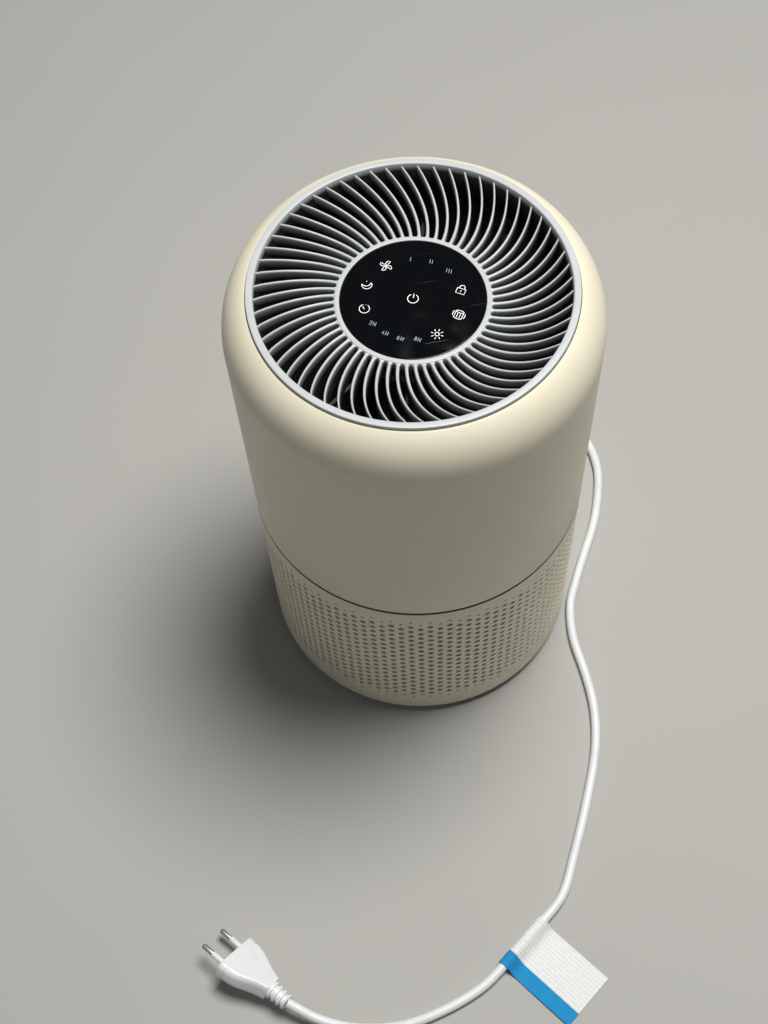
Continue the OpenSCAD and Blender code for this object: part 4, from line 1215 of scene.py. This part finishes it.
DIGITS = {
    2: [[(-0.6, 0.7), (-0.4, 1.2), (0.3, 1.3), (0.6, 0.8), (0.4, 0.2), (-0.6, -1.3), (0.7, -1.3)]],
    4: [[(0.3, -1.3), (0.3, 1.3), (-0.7, -0.5), (0.7, -0.5)]],
    6: [[(0.5, 1.3), (-0.2, 0.9), (-0.6, 0), (-0.5, -0.9), (0, -1.3), (0.5, -0.9), (0.5, -0.2),
         (0, 0.1), (-0.5, -0.2)]],
    8: [ring_line((0, 0.65), 0.5, count=10), ring_line((0, -0.65), 0.6, count=10)],
}
SYMBOLS = {
    # name: (angle on the panel, strokes in millimetres, dim ink)
    "fan": (145.7, [petal(t) for t in (0, 90, 180, 270)] + [ring_line((0, 0), 0.45, count=8)],
            False),
    "speed_1": (115.3, slanted(1), True),
    "speed_2": (90.7, slanted(2), True),
    "speed_3": (65.7, slanted(3), True),
    "lock": (34.9, [[(-2.5, 0.5), (2.5, 0.5), (2.5, -3.1), (-2.5, -3.1), (-2.5, 0.5)],
                    [(-1.5, 0.5), (-1.5, 1.4)] + ring_line((0, 1.4), 1.5, 180, 0, 10) + [(1.5, 0.5)],
                    [(0, -0.7), (0, -1.9)]], False),
    "filter_reset": (-1.7, [arc((0, 2.1), (2.3, 0.8), 0, 360, 18),
                            arc((0, -2.2), (2.3, 0.8), 180, 360, 10),
                            [(-2.3, 2.1), (-2.3, -2.2)], [(2.3, 2.1), (2.3, -2.2)],
                            [(-0.8, 0.7), (-0.8, -2.3)], [(0.8, 0.7), (0.8, -2.3)],
                            ring_line((0, 0), 3.6, 148, 205, 6),
                            ring_line((0, 0), 3.6, -32, 25, 6)], False),
    "brightness": (-39, [ring_line((0, 0), 1.2, count=14)]
                   + [[(2.2 * math.cos(a), 2.2 * math.sin(a)), (3.6 * math.cos(a), 3.6 * math.sin(a))]
                      for a in [TURN * i / 8 for i in range(8)]], False),
    "timer": (-143.9, [ring_line((0, 0), 2.9, 128, 430, 24), [(-1.5, 1.1), (0.1, -0.2)],
                       [(-0.5, 2.85), (-0.3, 2.9)]], False),
    "sleep": (-178.9, [ring_line((0, 0), 2.9, -160, 45, 20)
                       + ring_line((-1.05, 1.55), 2.75, 8, -130, 16),
                       ring_line((-1, 2.1), 0.12, count=6)], False),
    "hours_8": (-62.4, hours(8), True),
    "hours_6": (-82.1, hours(6), True),
    "hours_4": (-101.3, hours(4), True),
    "hours_2": (-120.8, hours(2), True),
}
POWER = [ring_line((0, 0), 3.05, 132, 436, 24), [(0, 0.5), (-0.75, 3.3)]]


def drawn_lines(name, strokes, width, place):
    """Thin raised lines on the panel, as one mesh."""
    clear_selection()
    curve = bpy.data.curves.new(name, "CURVE")
    curve.dimensions = "3D"
    curve.bevel_depth = width / 2
    curve.bevel_resolution = 1
    curve.use_fill_caps = True
    for stroke in strokes:
        spline = curve.splines.new("POLY")
        spline.points.add(len(stroke) - 1)
        for point, (x, y) in zip(spline.points, stroke):
            point.co = (x * MM, y * MM, 0, 1)
    drawn = bpy.data.objects.new(name, curve)
    bpy.context.scene.collection.objects.link(drawn)
    drawn.location = place
    drawn.scale.z = 0.2
    make_active(drawn)
    bpy.ops.object.convert(target="MESH")
    return bpy.context.object


class PURIFIER_OT_panel(bpy.types.Operator):
    """Builds the glossy touch panel and its lit symbols"""

    bl_idname = "purifier.panel"
    bl_label = "Touch panel"

    def execute(self, context):
        chosen = settings().panel
        low, high = lens_low.z, lens_high.z
        outline = [(0, low), (LENS_R, low)]
        outline += arc((LENS_R - 0.5 * MM, high - 0.5 * MM), (0.5 * MM, 0.5 * MM), 0, 90, 5)
        outline.append((0, high))
        done(lathe("touch_panel", outline, 160, closed=False), "housing",
             [gloss_acrylic("black_acrylic", (*chosen.glass, 1))], ["panel_lens"])

        bright = lit_ink("white_window_ink", (*chosen.ink, 1), 0.55)
        dim = lit_ink("cool_window_ink", (*chosen.cool_ink, 1), 0.2)
        face = high + 0.02 * MM

        def spot(angle):
            a = math.radians(angle)
            return (chosen.symbol_r * math.cos(a), chosen.symbol_r * math.sin(a), face)

        for name, (angle, strokes, cool) in SYMBOLS.items():
            width = chosen.line_w * (0.65 if cool else 1)
            drawn = drawn_lines("symbol_" + name, strokes, width, spot(angle))
            done(drawn, "housing", [dim if cool else bright])
        drawn = drawn_lines("symbol_power", POWER, chosen.line_w * 1.1, (0, 0, face))
        done(drawn, "housing", [bright])
        return {"FINISHED"}


# ------------------------------------------------------------ filter, base


class PURIFIER_OT_filter(bpy.types.Operator):
    """Builds the filter's pleats and its outer net"""

    bl_idname = "purifier.filter"
    bl_label = "Filter"

    def execute(self, context):
        chosen = settings().filter
        low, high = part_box("hepa_pleats")
        outer, inner = high.x - 0.4 * MM, high.x - 14 * MM
        step = TURN / chosen.pleats
        # Each point of one pleat: its radius, and its share of the pleat's angle
        folds = [(inner, 0), (inner + 0.8 * MM, 0.06), (outer - 0.8 * MM, 0.42), (outer, 0.47),
                 (outer, 0.53), (outer - 0.8 * MM, 0.58), (inner + 0.8 * MM, 0.94), (inner, 1)]
        line = [(r * math.cos(step * part), r * math.sin(step * part), low.z) for r, part in folds]
        pleats = chain("pleated_paper", line)
        bpy.ops.mesh.select_all(action="SELECT")
        for _ in range(4):
            extrude((0, 0, (high.z - low.z) / 4))
        copy_round(chosen.pleats)
        weld()
        outward()
        apply_modifier(pleats, "SOLIDIFY", thickness=0.5 * MM, offset=-1)
        done(pleats, "filter", [felted_fleece("glass_fibre_paper", linear("E4E3DA"))],
             ["hepa_pleats"])

        low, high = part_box("pre_filter")
        clear_selection()
        bpy.ops.mesh.primitive_grid_add(x_subdivisions=chosen.net_columns,
                                        y_subdivisions=chosen.net_rows, size=1)
        net = context.object
        net.name = "pre_filter_net"
        r = high.x - chosen.wire_d / 2

        def wrapped(co):
            around = (co.x + 0.5) * TURN
            z = low.z + (co.y + 0.5) * (high.z - low.z)
            return (r * math.cos(around), r * math.sin(around), z)

        reshape(net, wrapped)
        edit(net)
        weld()
        outward()
        apply_modifier(net, "WIREFRAME", thickness=chosen.wire_d, use_even_offset=False)
        done(net, "filter", [moulded_abs("grey_pp_net", linear("6E6F6C"), 0.6)],
             ["pre_filter"])
        return {"FINISHED"}


class PURIFIER_OT_feet(bpy.types.Operator):
    """Builds the four rounded rubber feet"""

    bl_idname = "purifier.feet"
    bl_label = "Feet"

    def execute(self, context):
        low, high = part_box("rubber_feet")
        r = 9 * MM
        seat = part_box("base_cover")[0].z
        peg_r = 3 * MM
        outline = [(0, low.z + 0.5 * MM), (r - 3 * MM, low.z + 0.5 * MM), (r - 2.6 * MM, low.z),
                   (r - 1.2 * MM, low.z), (r - 0.4 * MM, low.z + 0.3 * MM),
                   (r, low.z + 1.1 * MM), (r, seat), (peg_r, seat), (peg_r, high.z), (0, high.z)]
        feet = lathe("soft_feet", outline, 40, closed=False)
        shift((high.x - r, high.y - r, 0))
        copy_round(4)
        outward()
        done(feet, "base", [moulded_rubber("black_rubber", linear("1C1C1E"))],
             ["rubber_feet"])
        return {"FINISHED"}


class PURIFIER_OT_finishes(bpy.types.Operator):
    """Gives the pieces that keep their frame shape their finishes"""

    bl_idname = "purifier.finishes"
    bl_label = "Inside finishes"

    def execute(self, context):
        finishes = {
            "ivory_moulded_abs_cover": (moulded_abs, "EAE3CC", ["base_cover"]),
            # Dark interior plastic, made darker as painted shade so that the outlet slots show black
            "dark_grey_abs": (moulded_abs, "333436", ["air_duct", "motor_pod", "guide_vanes"]),
            "light_grey_abs": (moulded_abs, "B9BCBC",
                               ["inlet_plate", "inlet_guard", "board_bracket"]),
            "white_polypropylene": (moulded_abs, "E7E8E6", [
                "impeller", "impeller_shroud", "impeller_blades", "filter_bottom_cap",
                "filter_top_cap", "wire_cover", "cord_clamp"]),
            "opal_polycarbonate": (milky_diffuser, "EEF0EE", ["light_diffuser"]),
            "epoxy_board": (circuit_laminate, "1F5B34", ["control_board", "power_board"]),
            "black_epoxy": (moulded_epoxy, "2A2B2D", ["board_components"]),
            "ribbon_pvc": (soft_pvc, "77797B", ["ribbon_cable"]),
            "white_lead_pvc": (soft_pvc, "E4E6E7", ["mains_lead"]),
            "black_lead_pvc": (soft_pvc, "222326", ["motor_lead"]),
            "silicon_steel_stack": (laminated_iron, "8A8C8E", ["motor_stator"]),
            "ferrite_rotor": (moulded_rubber, "3A3B3D", ["motor_rotor"]),
            "enamelled_copper": (enamelled_copper, "B8703A", ["motor_windings"]),
            "nitrile_rubber": (moulded_rubber, "202022", ["motor_bushes"]),
            "eva_foam": (moulded_rubber, "4A4B4D", ["filter_seal"]),
            "coconut_carbon": (carbon_granules, "1B1B1C", ["carbon_bed"]),
            "perforated_pp_liner": (perforated_liner, "C9CBCB", ["core_screen"]),
            "woven_polyester_tape": (woven_strap, "D8DADB", ["filter_pull_tab"]),
            "satin_label_film": (uncoated_paper, "C8CACB", ["rating_label"]),
        }
        for name, (kind, code, members) in finishes.items():
            finish = kind(name, linear(code))
            for member in members:
                self.cover(member, finish)
        steel = plated_metal("zinc_plated_steel", linear("B9BABA"), 0.3)
        deep_drawn = plated_metal("galvanised_drawn_steel", linear("A9ABAC"), 0.38, 1.2)
        for member in ("motor_screws", "shell_screws", "plate_screws", "board_screws", "impeller_nut",
                       "impeller_washer", "motor_shaft", "motor_bearings"):
            self.cover(member, steel)
        self.cover("motor_case", deep_drawn)
        return {"FINISHED"}

    def cover(self, member, finish):
        """Puts the finish in every slot of a node of the frame."""
        materials = nodes[member].data.materials
        for i in range(len(materials)):
            materials[i] = finish


# ----------------------------------------------------------------- sidebar


class PURIFIER_PT_sidebar(bpy.types.Panel):
    """Lists the steps that build the air purifier, and its sizes"""

    bl_idname = "PURIFIER_PT_sidebar"
    bl_label = "Air purifier"
    bl_space_type = "VIEW_3D"
    bl_region_type = "UI"
    bl_category = "Air purifier"

    def draw(self, context):
        for kind in CLASSES:
            if issubclass(kind, bpy.types.Operator):
                self.layout.operator(kind.bl_idname)
        for group in (settings().shell, settings().grille, settings().panel, settings().filter,
                      settings().cord, settings().stage):
            box = self.layout.box()
            for name in group.__annotations__:
                box.prop(group, name)


STEPS = ("stage", "cord", "shells", "grille", "panel", "filter", "feet", "finishes")
CLASSES = (ShellSettings, GrilleSettings, PanelSettings, FilterSettings, CordSettings, StageSettings,
           PurifierSettings, PURIFIER_OT_stage, PURIFIER_OT_plug, PURIFIER_OT_tag, PURIFIER_OT_cord,
           PURIFIER_OT_shells, PURIFIER_OT_lower_shell, PURIFIER_OT_grille, PURIFIER_OT_panel,
           PURIFIER_OT_filter, PURIFIER_OT_feet, PURIFIER_OT_finishes, PURIFIER_PT_sidebar)


def register():
    for kind in CLASSES:
        bpy.utils.register_class(kind)
    bpy.types.Scene.purifier = PointerProperty(type=PurifierSettings)


def unregister():
    del bpy.types.Scene.purifier
    for kind in reversed(CLASSES):
        bpy.utils.unregister_class(kind)


def main():
    register()
    for step in STEPS:
        getattr(bpy.ops.purifier, step)()
    clear_selection()
    bpy.context.view_layer.update()


if __name__ == "__main__":
    main()
